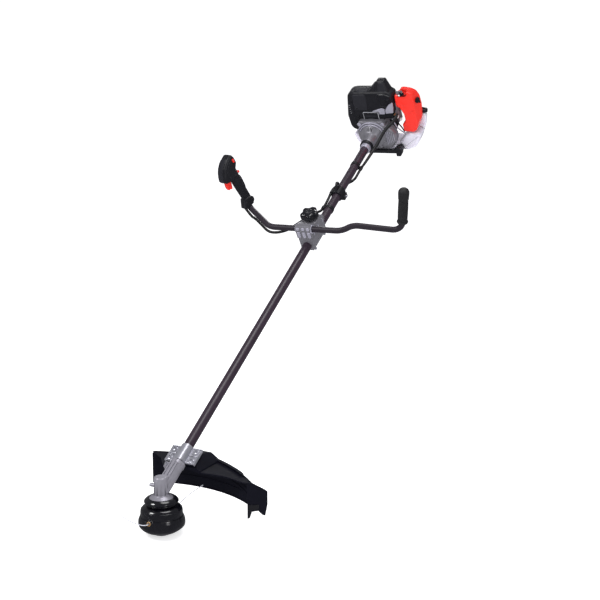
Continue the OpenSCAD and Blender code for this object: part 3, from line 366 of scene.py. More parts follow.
M = {
    "cast": finish("cast_aluminium", (0.25, 0.245, 0.275), 0.40, metal=0.55, grain=1400, bump=0.35,
                   blotch=0.16, wear=(0.72, 0.71, 0.76), edge=1.0),
    "cast_light": finish("bright_casting", (0.47, 0.46, 0.55), 0.36, metal=0.5, grain=1100, bump=0.25,
                         blotch=0.15, wear=(0.85, 0.84, 0.9), edge=1.0),
    "zinc": finish("zinc_plate", (0.52, 0.52, 0.58), 0.30, metal=0.7, grain=700, bump=0.04, blotch=0.15,
                   wear=(0.8, 0.8, 0.84), wear_amount=0.25, edge=0.5),
    # gear case: its own purple-grey alloy tone, made lighter to paint in the sheen it shows under the lights
    "gear": finish("gearcase_alloy_and_painted_sheen", (0.37, 0.36, 0.41), 0.36, metal=0.5, grain=1400, bump=0.3, blotch=0.2,
                   wear=(0.8, 0.79, 0.85), edge=1.0),
    "steel": finish("ground_steel", (0.55, 0.55, 0.57), 0.25, metal=1.0, grain=800, stretch=(1, 1, 0.05),
                    blotch=0.1),
    "tube": finish("tube_paint", (0.030, 0.017, 0.030), 0.42, coat=0.25, grain=1500, bump=0.22, blotch=0.35,
                   wear=(0.10, 0.08, 0.10)),
    "bar": finish("bar_paint", (0.021, 0.016, 0.024), 0.46, grain=900, bump=0.01, blotch=0.2, spec=0.35),
    "gloss": finish("gloss_black", (0.0045, 0.0045, 0.007), 0.16, coat=0.5, grain=500, bump=0.03, blotch=0.2,
                    wear=(0.05, 0.05, 0.07), wear_amount=0.3),
    "black": finish("black_plastic", (0.0085, 0.0085, 0.0120), 0.40, grain=1700, bump=0.22, blotch=0.2,
                    spec=0.38, wear=(0.06, 0.06, 0.075), edge=0.9),
    "guard": finish("guard_plastic", (0.0050, 0.0052, 0.0110), 0.62, grain=1300, bump=0.2, blotch=0.2,
                    spec=0.1, wear=(0.05, 0.05, 0.07), edge=0.9),
    "panel": finish("panel_plastic", (0.0155, 0.0155, 0.021), 0.44, grain=1900, bump=0.3, blotch=0.15,
                    spec=0.35, wear=(0.09, 0.09, 0.11)),
    "rubber": finish("grip_rubber", (0.011, 0.011, 0.013), 0.62, grain=1500, bump=0.35, blotch=0.2),
    "sleeve": finish("cable_sleeve", (0.009, 0.009, 0.011), 0.5, grain=1200, bump=0.3, blotch=0.2),
    "red": finish("red_plastic", (0.80, 0.022, 0.012), 0.26, coat=0.35, grain=900, bump=0.05, blotch=0.06,
                  wear=(0.95, 0.22, 0.18), wear_amount=0.35, edge=1.2),
    "deep_red": finish("deep_red_plastic", (0.55, 0.008, 0.010), 0.32, grain=900, bump=0.06, blotch=0.1),
    "brass": finish("worn_brass", (0.78, 0.50, 0.24), 0.30, metal=0.9, grain=900, bump=0.1, blotch=0.2),
    "line": finish("nylon", (0.52, 0.53, 0.60), 0.35, grain=300, bump=0.05, blotch=0.1, soft=0.3),
    "tank": finish("tank_plastic", (0.62, 0.60, 0.68), 0.34, coat=0.15, grain=260, bump=0.06, blotch=0.06,
                   soft=0.55),
    "foam": finish("foam", (0.03, 0.03, 0.035), 0.9, grain=420, bump=0.9, blotch=0.4),
    "white": finish("glazed_white", (0.72, 0.72, 0.74), 0.25, grain=300, bump=0.03, blotch=0.08),
    "mark": finish("silver_print", (0.42, 0.42, 0.46), 0.4, grain=900, bump=0.05, blotch=0.1),
    "bulb": finish("bulb_plastic", (0.60, 0.60, 0.56), 0.2, coat=0.3, grain=300, bump=0.02, blotch=0.08,
                   soft=0.4),
}

CAD_FINISH = {
    "gear": "gear_case",
    "cast": "crankcase cylinder flywheel carburettor handlebar_base handlebar_cap",
    "cast_light": "muffler",
    "zinc": "guard_bracket cap_screws spool_spring",
    "steel": "ball_bearings output_shaft output_gear pinion_gear drive_shaft clutch_drum clutch_shoes "
             "crankshaft connecting_rod piston",
    "tube": "main_tube", "bar": "handlebar", "gloss": "anti_wrap_cup head_cover head_housing bump_knob",
    "guard": "guard",
    "black": "line_cutter_blade harness_bracket cable_clips clamp_knob safety_lever engine_cover "
             "muffler_guard choke_lever cover_knob fuel_cap tank_stand recoil_housing starter_handle "
             "starter_pulley throttle_handle_outer throttle_handle_inner",
    "rubber": "plain_grip shaft_bushes", "sleeve": "throttle_cable",
    "red": "filter_cover throttle_trigger stop_switch start_lock_button", "deep_red": "line_spool",
    "brass": "line_eyelets throttle_lever", "line": "cutting_line", "tank": "fuel_tank",
    "foam": "filter_foam", "white": "spark_plug", "bulb": "primer_bulb",
}
for key, names in CAD_FINISH.items():
    for name in names.split():
        data = NODES[name].data
        data.materials.clear()
        data.materials.append(M[key])
        data.polygons.foreach_set("material_index", [0] * len(data.polygons))
        data.shade_smooth()
        data.set_sharp_from_angle(angle=math.radians(32))


# ---------- trimmer head ----------

def flat_curve(points, n=5):
    """Smooth profile through the points given."""
    return [(p.x, p.y) for p in smooth_curve([Vector(p) for p in points], n)]


def head_pieces():
    """Anti-wrap cup, upper and lower body, eyelets and bump knob."""
    cup = Shape(M["gloss"])
    cup.lathe(head_place, flat_curve([(8, 80.7), (30, 80.7), (37.5, 81), (41, 83), (42.2, 85.2), (41.4, 86.6),
                                      (43.6, 88), (45, 90), (44.6, 92.4), (41.6, 96), (37.5, 99),
                                      (34.5, 100.3), (32.8, 100.2), (32.4, 98), (32.4, 92)]), sides=96)
    cup.piece("cup_shell", "cutting_head", ["anti_wrap_cup"])

    dome = Shape(M["gloss"])
    dome.lathe(head_place, flat_curve([(12, 80.3), (36, 80.2), (42, 78.9), (48, 76), (52.4, 71.5), (54.6, 66),
                                       (55, 60), (55, 53.5), (54.6, 52.3), (50, 52.2), (12, 52.2)]), sides=96)
    for z in (54.2, 69.5):
        dome.lathe(head_place, [(53, z - 0.9), (55.5 if z < 60 else 54.1, z - 0.5),
                                (55.5 if z < 60 else 54.0, z + 0.5), (53, z + 0.9)], sides=96)
    dome.piece("upper_body", "cutting_head", ["head_cover"])

    low = Shape(M["gloss"])

    def lobes(r, s, a):
        bump = 0.5 + 0.5 * math.cos(6 * a)
        return r - (1.6 * bump if 12 < s < 30 and r > 40 else 0)

    low.lathe(head_place, flat_curve([(33, 12.6), (33, 9.3), (38, 9.8), (46, 13.2), (53.5, 17.8),
                                      (58.6, 23.2),
                                      (60.8, 29), (61, 36), (60.2, 42), (58.4, 47), (57, 50.6), (56, 51.9),
                                      (52, 51.9)]), sides=120, lobes=lobes)
    for turn in EYE_TURNS:
        d = (math.cos(math.radians(turn)), math.sin(math.radians(turn)), 0)
        boss = turned(head_place, (54 * d[0], 54 * d[1], EYE_Z), d)
        low.lathe(boss, [(8.6, 0), (8.6, 3.6), (7.8, 5.0), (6.8, 5.4), (6.3, 5.0)], sides=28)
    low.piece("lower_body", "cutting_head", ["head_housing"])

    eyes = Shape(M["brass"], M["black"])
    for turn in EYE_TURNS:
        d = (math.cos(math.radians(turn)), math.sin(math.radians(turn)), 0)
        eye = turned(head_place, (59 * d[0], 59 * d[1], EYE_Z), d)
        ring = [(2.6, -1), (6.4, -1), (6.6, 0.6), (5.9, 2.1), (4.4, 2.6), (3.1, 1.9), (2.6, 0.6)]
        eyes.loft([round_ring(eye, r, s, 28) for r, s in ring], caps=False, close=True)
        eyes.lathe(eye, [(2.65, -0.9), (2.65, 0.1)], mat=1, sides=20)
    eyes.piece("brass_eyelets", "cutting_head", ["line_eyelets"])

    knob = Shape(M["gloss"])

    def grips(r, s, a):
        return r - (1.5 * max(0.0, math.cos(6 * a)) ** 2 if r > 26 and s < 17 else 0)

    knob.lathe(head_place, flat_curve([(0.2, 0), (10, 0), (15, 0.2), (21, 1.4), (26, 4), (29, 8), (29.5, 12),
                                       (29.4, 17.9)]), sides=96, lobes=grips)
    knob.piece("knob_shell", "line_feed", ["bump_knob"])


def line_ends():
    """The two free ends of the cutting line."""
    reach = 155
    ends = Shape(M["line"])
    for side, way in ((-1, ((-0.09, -0.49, 1), (-0.33, -0.53, 11), (-0.64, -0.47, 29))),
                      (1, ((0.01, 0.55, 8), (0.08, 0.76, 25), (0.2, 0.98, 41)))):
        route = [(0, side * y, EYE_Z) for y in (50, 61.5, 68)]
        route += [(x * reach, y * reach, EYE_Z + z) for x, y, z in way]
        ends.sweep(head_place, smooth_curve(route, 12), 1.25, sides=10)
    ends.piece("line_ends", "cutting_head", ["cutting_line"])


# ---------- gearbox, bracket and guard detail ----------

def gearbox_detail():
    """Ribs, cap and collar of the gear case, and the ribs pressed in the guard bracket."""
    top = Shape(M["gear"])
    top.lathe(head_place, [(17.2, 150), (17.9, 151.2), (17.4, 153.4), (15.8, 154.9), (13.6, 155.2),
                           (13.2, 154.2), (0.3, 154.2)], sides=64)
    ribs = 10
    for i in range(ribs):
        a = math.tau * (i + 0.5) / ribs
        if abs(a - math.pi / 2) < 0.75:
            continue
        d = (math.cos(a), math.sin(a), 0)
        side = (-d[1], d[0])
        outline = rounded([(17.2, 105), (21.5, 104.5), (19.0, 112), (18.7, 146), (17.2, 149)], 0.8, 3)
        rib = axes((0, 0, 0), d, (0, 0, 1), (side[0], side[1], 0))
        top.slab(rib, outline, -0.9, 0.9, 0.4)
    top.lathe(head_place, flat_curve([(29, 93.7), (31, 94.0), (31.2, 97), (30.6, 99.6), (26, 101.6),
                                      (21.5, 105), (19, 109)], 4), sides=72)
    top.piece("case_ribs", "frame")

    plate = Shape(M["zinc"])
    for side in (-1, 1):
        for y in (112, 142):
            plate.lathe(turned(tube_place, (side * 34, y, 0), (0, 0, 1)),
                        [(7.4, 0), (7.4, 1.4), (6.6, 2.0), (3.2, 2.0)], sides=28)
        for y in (103.5, 127, 150.5):
            near, far = side * 17, side * 45
            outline = rounded([(near, y - 1.4), (far, y - 1.4), (far, y + 1.4), (near, y + 1.4)], 1.0, 3)
            plate.slab(tube_place, outline, -0.3, 2.6, 1.0)
        for s in (-1, 1):
            outline = rounded([(side * 24, 127 + s * 3), (side * 44, 127 + s * 20),
                               (side * 44, 127 + s * 16.5), (side * 24, 127 - s * 0.5)], 0.8, 3)
            plate.slab(tube_place, outline, -0.3, 1.6, 0.6)
    plate.piece("bracket_ribs", "frame")


SKIRT_R, SKIRT_FROM, SKIRT_TO = 350, -22.3, 31.9
SKIRT_MID = Vector((-7, 189 - SKIRT_R))
ROOF_Z = 150
ROOF = [(-220, 0), (36, 0), (80, -7), (136, -16), (186, -28), (212, -44), (228, -68)]


def roof_at(x):
    """Height of the guard roof at x."""
    for (a, p), (b, q) in zip(ROOF, ROOF[1:]):
        if x <= b:
            return ROOF_Z + p + (q - p) * (x - a) / (b - a)
    return ROOF_Z + ROOF[-1][1]


def arc_rail(shape, r, z, half_r, half_z, start, stop, follow_roof=False, mat=0):
    """Long moulded rib along the guard's curve."""
    rings = []
    for i in range(61):
        a = math.radians(start + (stop - start) * i / 60)
        d = Vector((math.sin(a), math.cos(a)))
        m = SKIRT_MID + r * d
        h = z + (roof_at(m.x) - ROOF_Z if follow_roof else 0)
        rings.append([head_place(*(m + half_r * math.cos(w) * d), h + half_z * math.sin(w))
                      for w in [math.tau * k / 10 for k in range(10)]])
    shape.loft(rings, mat)


def guard_detail():
    """Rails and fins moulded on the guard."""
    ribs = Shape(M["guard"], M["panel"])
    arc_rail(ribs, SKIRT_R + 1.4, 66.5, 3.2, 2.2, SKIRT_FROM, SKIRT_TO)
    arc_rail(ribs, SKIRT_R - 0.3, 121, 1.3, 1.6, SKIRT_FROM + 0.4, SKIRT_TO - 0.6, True)
    arc_rail(ribs, SKIRT_R - 0.3, 133, 1.3, 1.6, SKIRT_FROM + 0.4, SKIRT_TO - 0.6, True)
    arc_rail(ribs, SKIRT_R - 0.3, 94, 1.1, 1.2, SKIRT_FROM + 0.4, SKIRT_TO - 6)
    arc_rail(ribs, SKIRT_R + 11, 149, 1.8, 3.2, SKIRT_FROM, SKIRT_TO + 1, True)
    arc_rail(ribs, SKIRT_R + 7, 151, 2.2, 3.4, 8, 27, True)
    for i in range(9):
        a = math.radians(SKIRT_FROM + 4 + i * 6)
        d = Vector((math.sin(a), math.cos(a)))
        m = SKIRT_MID + (SKIRT_R + 2) * d
        fin = axes((0, 0, 0), (d.x, d.y, 0), (0, 0, 1), (d.y, -d.x, 0))
        at = m.dot(d)
        across = m.dot(Vector((d.y, -d.x)))
        top = roof_at(m.x) - 2
        outline = rounded([(at, 70), (at + 3, 74), (at + 7.5, top), (at, top)], 0.5, 2)
        ribs.slab(fin, outline, across - 1.0, across + 1.0, 0.4)
    ribs.piece("guard_ribs", "frame")


# ---------- handlebar ----------

HANDLE_FOOT, HANDLE_DIR = (-234, 1090, 67), (-0.216, 0.129, 0.968)
GRIP_FOOT, GRIP_DIR = (301, 1066, 24), Vector((0.216, 0.06, 0.975)).normalized()
BAR_R = 9.5


def bent(points, radii, n=10):
    """Route of straight runs joined by arcs."""
    pts = [Vector(p) for p in points]
    out = [pts[0]]
    for a, b, c, r in zip(pts, pts[1:], pts[2:], radii):
        u, v = (a - b).normalized(), (c - b).normalized()
        half = u.angle(v) / 2
        start, centre = b + u * r / math.tan(half), b + (u + v).normalized() * r / math.sin(half)
        p, q = start - centre, b + v * r / math.tan(half) - centre
        whole = p.angle(q)
        out += [centre + (p * math.sin(whole * (1 - k / n)) + q * math.sin(whole * k / n)) / math.sin(whole)
                for k in range(n + 1)]
    return out + [pts[-1]]


def handlebar():
    """Bent and painted bar."""
    grip = [f + 100 * d for f, d in zip(GRIP_FOOT, GRIP_DIR)]
    end = [f + 95 * d for f, d in zip(HANDLE_FOOT, HANDLE_DIR)]
    route = bent([grip, GRIP_FOOT, (159, 1031, 64.5), (128, HUB_L, HUB_H), (-125, HUB_L, HUB_H),
                  HANDLE_FOOT, end],
                 [30, 60, 60, 60, 30])
    bar = Shape(M["bar"])
    bar.sweep(tube_place, route, BAR_R, sides=40)
    bar.piece("painted_bar", "handlebar_group", ["handlebar"])


def plain_grip():
    """Ribbed rubber grip on the right end of the bar."""
    start = [f + 34 * d for f, d in zip(GRIP_FOOT, GRIP_DIR)]
    place = turned(tube_place, start, GRIP_DIR)
    profile = [(9.7, 0), (15.5, 0), (17.2, 0.8), (17.6, 2.4), (16.6, 4.2), (15.0, 5.2)]
    s = 7.0
    while s < 84:
        r = 14.4 + 0.5 * math.cos((s - 45) / 22)
        profile += [(r, s), (r + 0.75, s + 0.7), (r + 0.75, s + 2.3), (r, s + 3.0)]
        s += 4.2
    profile += [(14.6, 86), (16.2, 88.5), (16.4, 94), (16.9, 104), (17.0, 110), (16.4, 115.5), (14.2, 120),
                (10.5, 123.4), (5.5, 125.2), (0.2, 125.5)]
    Shape(M["rubber"]).lathe(place, profile, sides=48).piece("ribbed_grip", "handlebar_group", ["plain_grip"])


def superellipse(place, s, cy, hx, hy, power=2.6, n=40):
    """Ring between an ellipse and a rectangle."""
    out = []
    for k in range(n):
        a = math.tau * k / n
        c, q = math.cos(a), math.sin(a)
        out.append(place(hx * math.copysign(abs(c) ** (2 / power), c),
                         cy + hy * math.copysign(abs(q) ** (2 / power), q), s))
    return out


def throttle_handle():
    """Handle shell with its trigger, safety lever, stop switch and start-lock button."""
    shell = Shape(M["black"], M["panel"])
    grip = [(-4, 4.4, 12.2), (12, 4.2, 12.4), (26, 3.4, 13.0), (50, 0.6, 13.6), (74, -2.0, 14.2),
            (96, -4.0, 14.4), (112, -4.6, 14.6), (130, -5.0, 14.4)]
    rings = []
    for p in smooth_curve([Vector(g) for g in grip], 6):
        rings.append(superellipse(handle_place, p.x, p.y, p.z, p.z + 2.2, 2.4))
    shell.loft(rings)
    across = axes(handle_place(0, 0, 0), H_Y, H_Z, H_X)
    side = rounded([(-12, 101), (-46, 103), (-53, 112), (-50, 126), (-43, 139), (-36, 151), (-24, 163),
                    (-10, 173.5),
                    (3, 180.5), (11, 178), (15.5, 166), (16.5, 148), (4, 130), (3, 116), (-2, 103)],
                   [4, 9, 8, 12, 30, 30, 30, 24, 8, 8, 12, 10, 10, 8, 4], 6)
    shell.slab(across, side, -21.8, 21.8, 8, n=6)
    shell.slab(across, shrunk(side, -0.35), -0.5, 0.5, 0.2)
    # foot: square block in front of the bar, round lobe behind it
    block = rounded([(-11, 25), (-22.5, -4), (-17, -9), (3, -4), (4, 26)], [4, 5, 5, 3, 3], 4)
    shell.slab(across, block, -17, 17, 3.5)
    shell.slab(across, rounded([(-4, -3), (-4, 26), (14, 25), (22.5, 18), (22, 6), (14, -1)],
                               [3, 3, 8, 8, 8, 6], 5),
               -15.5, 15.5, 4.5)
    shell.slab(across, rounded([(-13.2, 20.5), (-22.3, -2.5), (-20, -4), (-10, 20.5)], 1, 2), -12.5, 12.5,
               2.0, mat=1)
    # lighter nose band, side panels and screws
    nose = rounded([(-45.6, 103.6), (-54, 112), (-51.2, 126.4), (-44, 139.6), (-37, 151.6), (-25, 163.8),
                    (-11, 174.4), (-8.4, 172), (-22, 160), (-33, 148), (-40, 136), (-44.5, 124), (-44, 106)],
                   [4, 8, 12, 30, 30, 30, 3, 3, 30, 30, 20, 12, 3], 5)
    shell.slab(across, nose, -15.5, 15.5, 5, mat=1)
    for sign in (-1, 1):
        panel = rounded([(-34, 112), (-31, 134), (-20, 150), (-6, 161), (4, 160), (-4, 132), (-6, 112)],
                        [6, 12, 16, 8, 5, 14, 5], 5)
        place = axes(handle_place(0, 0, 0), H_Y, H_Z, H_X * sign)
        shell.slab(place, panel, 20, 22.3, 0.9)
        for y, z in ((-27, 116), (-8, 114), (-12, 156)):
            shell.lathe(turned(handle_place, (sign * 22.0, y, z), (sign, 0, 0)),
                        [(3.0, -1), (3.0, 0.7), (2.4, 1.0), (1.8, 0.4), (0.1, 0.4)], sides=20)
        for y in (-11, 15):
            shell.lathe(turned(handle_place, (sign * 15.6, y, 12), (sign, 0, 0)),
                        [(3.4, -1), (3.4, 1.8), (2.8, 2.2), (1.8, 1.6), (0.1, 1.6)], sides=20)
    shell.piece("handle_shell", "handlebar_group", ["throttle_handle_outer", "throttle_handle_inner"])

    red = Shape(M["red"], M["deep_red"])
    trigger = [(-15.5, 120), (-24, 121.5), (-36, 116), (-44, 107), (-47, 92), (-45.5, 81), (-41, 75.6),
               (-37.6, 80.5), (-33.6, 75), (-29.6, 77), (-27, 86), (-24.6, 97), (-18, 108), (-15.5, 114)]
    red.slab(across, rounded(trigger, [1, 3, 6, 8, 14, 8, 2.4, 2, 2.4, 4, 12, 8, 4, 2], 5), -6.9, 6.9, 2.4,
             n=5)
    groove = rounded([(-45.4, 104), (-48, 92), (-46.4, 82), (-44.4, 82.5), (-46, 92), (-43.6, 103.5)], 0.5, 2)
    red.slab(across, groove, -2.6, 2.6, 0.5, mat=1)
    red.piece("trigger_blade", "trigger", ["throttle_trigger"])

    lever = Shape(M["black"])
    outline = rounded([(10, 48), (15.4, 48), (16.4, 56), (18, 64), (17.4, 90), (15.4, 101.4), (13, 103.4),
                       (10, 103), (10, 54)], [1, 2, 6, 10, 16, 4, 2, 1, 1], 4)
    lever.slab(across, outline, -4.9, 4.9, 1.6)
    lever.piece("lever_blade", "lever_safety", ["safety_lever"])

    switch = Shape(M["red"])
    switch.slab(across, rounded([(2.8, 153.6), (2.8, 166.4), (8.8, 166.4), (8.8, 153.6)], 2.2, 4), 20.6,
                25.2, 1.8)
    for z in (156, 159, 162):
        ridge = rounded([(3.4, z - 0.6), (3.4, z + 0.6), (8.2, z + 0.6), (8.2, z - 0.6)], 0.5, 2)
        switch.slab(across, ridge, 24.6, 25.8, 0.4)
    switch.piece("switch_slider", "switch_stop", ["stop_switch"])

    button = Shape(M["red"])
    button.lathe(turned(handle_place, (0, 7, 113), (0, 1, 0)),
                 [(4.9, -1), (4.9, 10.4), (4.6, 11.6), (3.6, 12.5), (0.1, 12.9)], sides=32)
    button.piece("button_cap", "button_start_lock", ["start_lock_button"])


def clamp_detail():
    """Star knob and the pads cast on the handlebar clamp."""
    at, low = 1060, 62.2
    knob = Shape(M["gloss"], M["black"])
    star = []
    for i in range(120):
        a = math.tau * i / 120
        r = 27.4 + 3.4 * math.cos(5 * a) - 0.5 * math.cos(10 * a)
        star.append(Vector((r * math.cos(a), at + r * math.sin(a))))
    knob.slab(tube_place, star, low + 4, low + 24.5, 8.0, edge_low=5, n=8)
    centre = turned(tube_place, (0, at, low), (0, 0, 1))
    knob.lathe(centre, [(13, 0), (13, 4), (15, 7)], sides=40)
    knob.lathe(centre, [(12, 22), (11.6, 25.2), (9.6, 26.0), (8.4, 25.2), (0.1, 24.8)], mat=1, sides=40)
    knob.lathe(centre, [(3.9, -30), (3.9, 8)], mat=1, sides=24)
    knob.piece("star_knob", "knob_clamp", ["clamp_knob"])

    pads = Shape(M["cast_light"], M["steel"])
    for x in (-17.5, 0, 17.5):
        for h0, h1, out in ((32, 54, 2.0), (60, 70, 1.6)):
            outline = rounded([(x - 5.2, h0), (x + 5.2, h0), (x + 5.2, h1), (x - 5.2, h1)], 2.2, 4)
            pads.slab(on_slab, outline, 995 - out, 997, 0.4, edge_low=1.2)
    for x in (-26.2, 26.2):
        ring = turned(tube_place, (x, HUB_L, HUB_H), (1 if x > 0 else -1, 0, 0))
        pads.lathe(ring, [(14.2, -0.5), (14.2, 1.6), (13.0, 2.4), (10.4, 2.4), (9.9, 1.6), (9.9, -0.5)],
                   sides=48)
    for x in (-20, 20):
        for l in (1012, 1046, 1078):
            rib = rounded([(l - 2, 32), (l + 2, 32), (l + 1.4, 48), (l - 1.4, 48)], 0.8, 3)
            place = axes(tube_place(0, 0, 0), ALONG, ABOVE, ACROSS * (1 if x > 0 else -1))
            pads.slab(place, rib, 26, 28.2, 0.6)
    pads.piece("clamp_pads", "frame")


CABLE = [(-219, 1062, 54), (-206, 1056, 50), (-192, 1047, 49), (-162, 1024, 47), (-138, 1006, 45),
         (-116, 998, 44),
         (-92, 1006, 40), (-72, 1030, 34), (-52, 1074, 29), (-34, 1124, 21), (-22, 1160, 8), (-19.8, 1180, 5),
         (-19.6, 1200, 5), (-20.6, 1236, 7),
         (-21.5, 1252, 8.5), (-21.5, 1280, 8.5), (-21, 1310, 0), (-17, 1336, -14), (-2, 1352, -21),
         (13, 1370, -18.5), (19.6, 1396, -11), (19.8, 1420, -10), (21, 1450, -12), (27, 1500, -8),
         (39, 1546, 6), (60, 1580, 36), (82, 1600, 52), (95, 1612, 66), (97, 1625, 74)]


def cable():
    """Sleeve from the handle to the carburettor, swept along one fixed route."""
    at_handle = [handle_place(0, -14, 16), handle_place(0, -17.5, 2)]
    route = smooth_curve(at_handle + [tube_place(*p) for p in CABLE], 12)

    def corrugated(i, r):
        along = min(max(((route[i] - APEX).dot(ALONG) - 1.44) / 0.09, 0), 1)
        return r + 1.4 * along + 0.25 * (i % 2)

    shape = Shape(M["sleeve"])
    shape.sweep(lambda *p: Vector(p), route, 4.3, sides=14, ridge=corrugated)
    shape.piece("cable_run", "frame", ["throttle_cable"],
                blend=("frame", "handlebar_group", tube_place(-34, 1124, 21), tube_place(-100, 1004, 42)))


# ---------- engine ----------

def clutch_housing():
    """Bell, fan housing, collar and cooling slots."""
    body = Shape(M["cast"], M["cast_light"], M["black"])
    fan = hull_of([(0, 0, 57), (32, -8, 52)], 96)
    body.slab(on_slab, fan, 1598, 1623.8, 1.0, edge_low=9)
    axis = axes(tube_place(0, 0, 0), ACROSS, -ABOVE, ALONG)
    sleeve = [(14.2, 1513), (17.4, 1513), (18, 1514.5), (18.2, 1520), (18.6, 1531)]
    body.lathe(axis, flat_curve(sleeve, 3), mat=1, sides=64)
    body.lathe(axis, [(18.6, 1528.5), (22.4, 1528.5), (23.2, 1529.6), (23.2, 1540), (22.4, 1541),
                      (18.8, 1541)],
               mat=2, sides=64)
    bell = [(19, 1541.2), (21.8, 1542), (23.4, 1552), (24.6, 1562), (26.4, 1572), (28.6, 1577), (34, 1583),
            (42, 1591), (51, 1600)]
    body.lathe(axis, flat_curve(bell, 4), sides=80)
    # two arc ribs in the brighter casting finish: a painted highlight line along each rib
    for r, l, thick in ((47.5, 1594.5, 2.0), (54, 1599.0, 2.2)):
        rings = []
        for i in range(41):
            a = math.radians(-62 + 124 * i / 40)
            d = Vector((math.sin(a), math.cos(a)))
            rings.append([tube_place(*(Vector((d.x * (r + thick * math.cos(w)), l + 3.4 * math.sin(w),
                                               d.y * (r + thick * math.cos(w))))))
                          for w in [math.tau * k / 10 for k in range(10)]])
        body.loft(rings, 1)
    flange = rounded([(-50, 28), (-50, 48), (-43, 55), (43, 55), (50, 48), (50, 28)], 5, 4)
    body.slab(on_slab, flange, 1603, 1623.8, 1, edge_low=3)
    for x in (-44, 44):
        body.lathe(turned(tube_place, (x, 1603.4, 44), (0, -1, 0)), [(7, -2), (7, 1.4), (6, 2.2), (3, 2.2)],
                   mat=1, sides=32)
    for i in range(5):
        x = 52 + i * 6.5
        rib = rounded([(x, -34 + i * 3), (x + 1.6, -34 + i * 3), (x + 1.6, 24 - i * 4), (x, 24 - i * 4)],
                      0.6, 2)
        body.slab(on_slab, rib, 1595.6 + i * 0.3, 1600, 0.6, mat=1)
    for a in (-150, -118, 118, 150):
        t = math.radians(a)
        boss = turned(tube_place, (50 * math.sin(t), 1597.5, 50 * math.cos(t)), (0, -1, 0))
        body.lathe(boss, [(5, -1), (5, 3), (4.2, 3.8), (0.1, 3.8)], sides=24)
    obj = body.piece("fan_housing", "frame", ["clutch_housing"])
    vents = Shape()
    for k in (-1.5, -0.5, 0.5, 1.5):
        a = math.radians(9.5 * k)
        place = axes(tube_place(0, 0, 0), ACROSS * math.cos(a) - ABOVE * math.sin(a), ALONG,
                     ACROSS * math.sin(a) + ABOVE * math.cos(a))
        vents.slab(place, rounded([(-1.5, 1579.5), (1.5, 1579.5), (1.5, 1590.5), (-1.5, 1590.5)], 1.4, 4),
                   26, 60, 0)
    cut(obj, vents)


COVER_FRONT, COVER_BACK = 1623, 1672


def engine_cover():
    """Cover with its leaning hump, panels, bright facets and plain badge."""
    cover = Shape(M["black"], M["cast_light"], M["mark"], M["panel"], M["gloss"])
    body = rounded([(-59, 50), (-59, 160), (70, 160), (91, 146), (91, 80), (78, 52)],
                   [3, 10, 18, 14, 14, 6], 6)
    cover.slab(on_slab, body, COVER_FRONT, COVER_BACK, 3, edge_low=9, n=6)

    def lean(u, v, s):
        """The hump leans back towards its top."""
        return u, v, s + max(0.0, v - 150) * 0.5 * (COVER_BACK - s) / (COVER_BACK - COVER_FRONT)

    hump = rounded([(0, 140), (6, 160), (20, 176), (26, 178), (37, 191.5), (64, 191.5), (70, 176), (79, 154),
                    (78, 140)], [4, 8, 4, 4, 6, 6, 10, 8, 4], 5)
    cover.slab(on_slab, hump, COVER_FRONT + 5, COVER_BACK - 0.5, 4, edge_low=6, warp=lean, n=6)
    for i in range(4):
        x = 4 + i * 6.5
        rib = rounded([(x, 142), (x + 3, 142), (x + 3, 163 + i * 5.6), (x, 161 + i * 5.6)], 1.2, 3)
        cover.slab(on_slab, rib, COVER_FRONT + 3.4, COVER_BACK - 6, 1.4, mat=3, warp=lean)
    crown = rounded([(40, 150), (41, 187), (61, 187), (68, 168), (70, 150)], [3, 5, 5, 8, 3], 4)
    cover.slab(on_slab, crown, COVER_FRONT + 3.2, COVER_FRONT + 12, 1, mat=3, edge_low=2.4, warp=lean)
    # raised panels either side of the dark centre channel
    left = rounded([(-56, 90), (-57, 152), (-8, 153), (-4, 140), (-8, 90)], [5, 9, 6, 8, 5], 5)
    cover.slab(on_slab, left, COVER_FRONT - 2.2, COVER_FRONT + 4, 0.5, mat=3, edge_low=2.4)
    right = rounded([(36, 106), (36, 152), (64, 154), (86, 144), (87, 122), (64, 104)],
                    [8, 8, 20, 10, 10, 10], 5)
    cover.slab(on_slab, right, COVER_FRONT - 2.6, COVER_FRONT + 4, 0.5, mat=4, edge_low=3)
    roof = rounded([(-40, 1628), (2, 1628), (2, 1656), (-40, 1656)], 5, 4)
    cover.slab(tube_place, roof, 157, 161.4, 1.6, mat=3)
    # bright facets beside the badge
    facet = rounded([(4, 83), (16, 89), (30, 94), (46, 98), (56, 96), (53, 74), (33, 74), (31, 83)],
                    [2, 8, 14, 10, 3, 2, 2, 2], 4)
    cover.slab(on_slab, facet, COVER_FRONT - 2.2, COVER_FRONT + 3, 0.5, mat=1, edge_low=1.6)
    facet = rounded([(57, 76), (58, 90), (65, 102), (77, 114), (90.5, 122), (89, 100), (85, 79)],
                    [2, 8, 12, 12, 3, 20, 3], 4)
    cover.slab(on_slab, facet, COVER_FRONT - 1.8, COVER_FRONT + 3, 0.5, mat=1, edge_low=1.6)
    # plain outlined badge
    plate = rounded([(-28, 51), (-28, 82), (29, 82), (29, 51)], 1.2, 3)
    cover.slab(on_slab, plate, COVER_FRONT - 3.2, COVER_FRONT + 1, 0.2, mat=2, edge_low=0.4)
    cover.slab(on_slab, shrunk(plate, 1.5), COVER_FRONT - 3.5, COVER_FRONT, 0.1, mat=0, edge_low=0.2)
    cover.slab(on_slab, rounded([(-20, 64), (-20, 69.5), (21, 69.5), (21, 64)], 2.4, 4),
               COVER_FRONT - 3.8, COVER_FRONT - 3, 0.1, mat=3, edge_low=0.2)
    for x, h in ((-50, 62), (84, 66), (-48, 98), (76, 134)):
        cover.lathe(turned(tube_place, (x, COVER_FRONT - 1.5, h), (0, -1, 0)),
                    [(4.4, -3), (4.4, 1.2), (3.6, 2.0), (2.2, 2.0), (2.0, 1.0), (0.1, 1.0)], sides=24)
    cover.piece("cover_shell", "frame", ["engine_cover"])


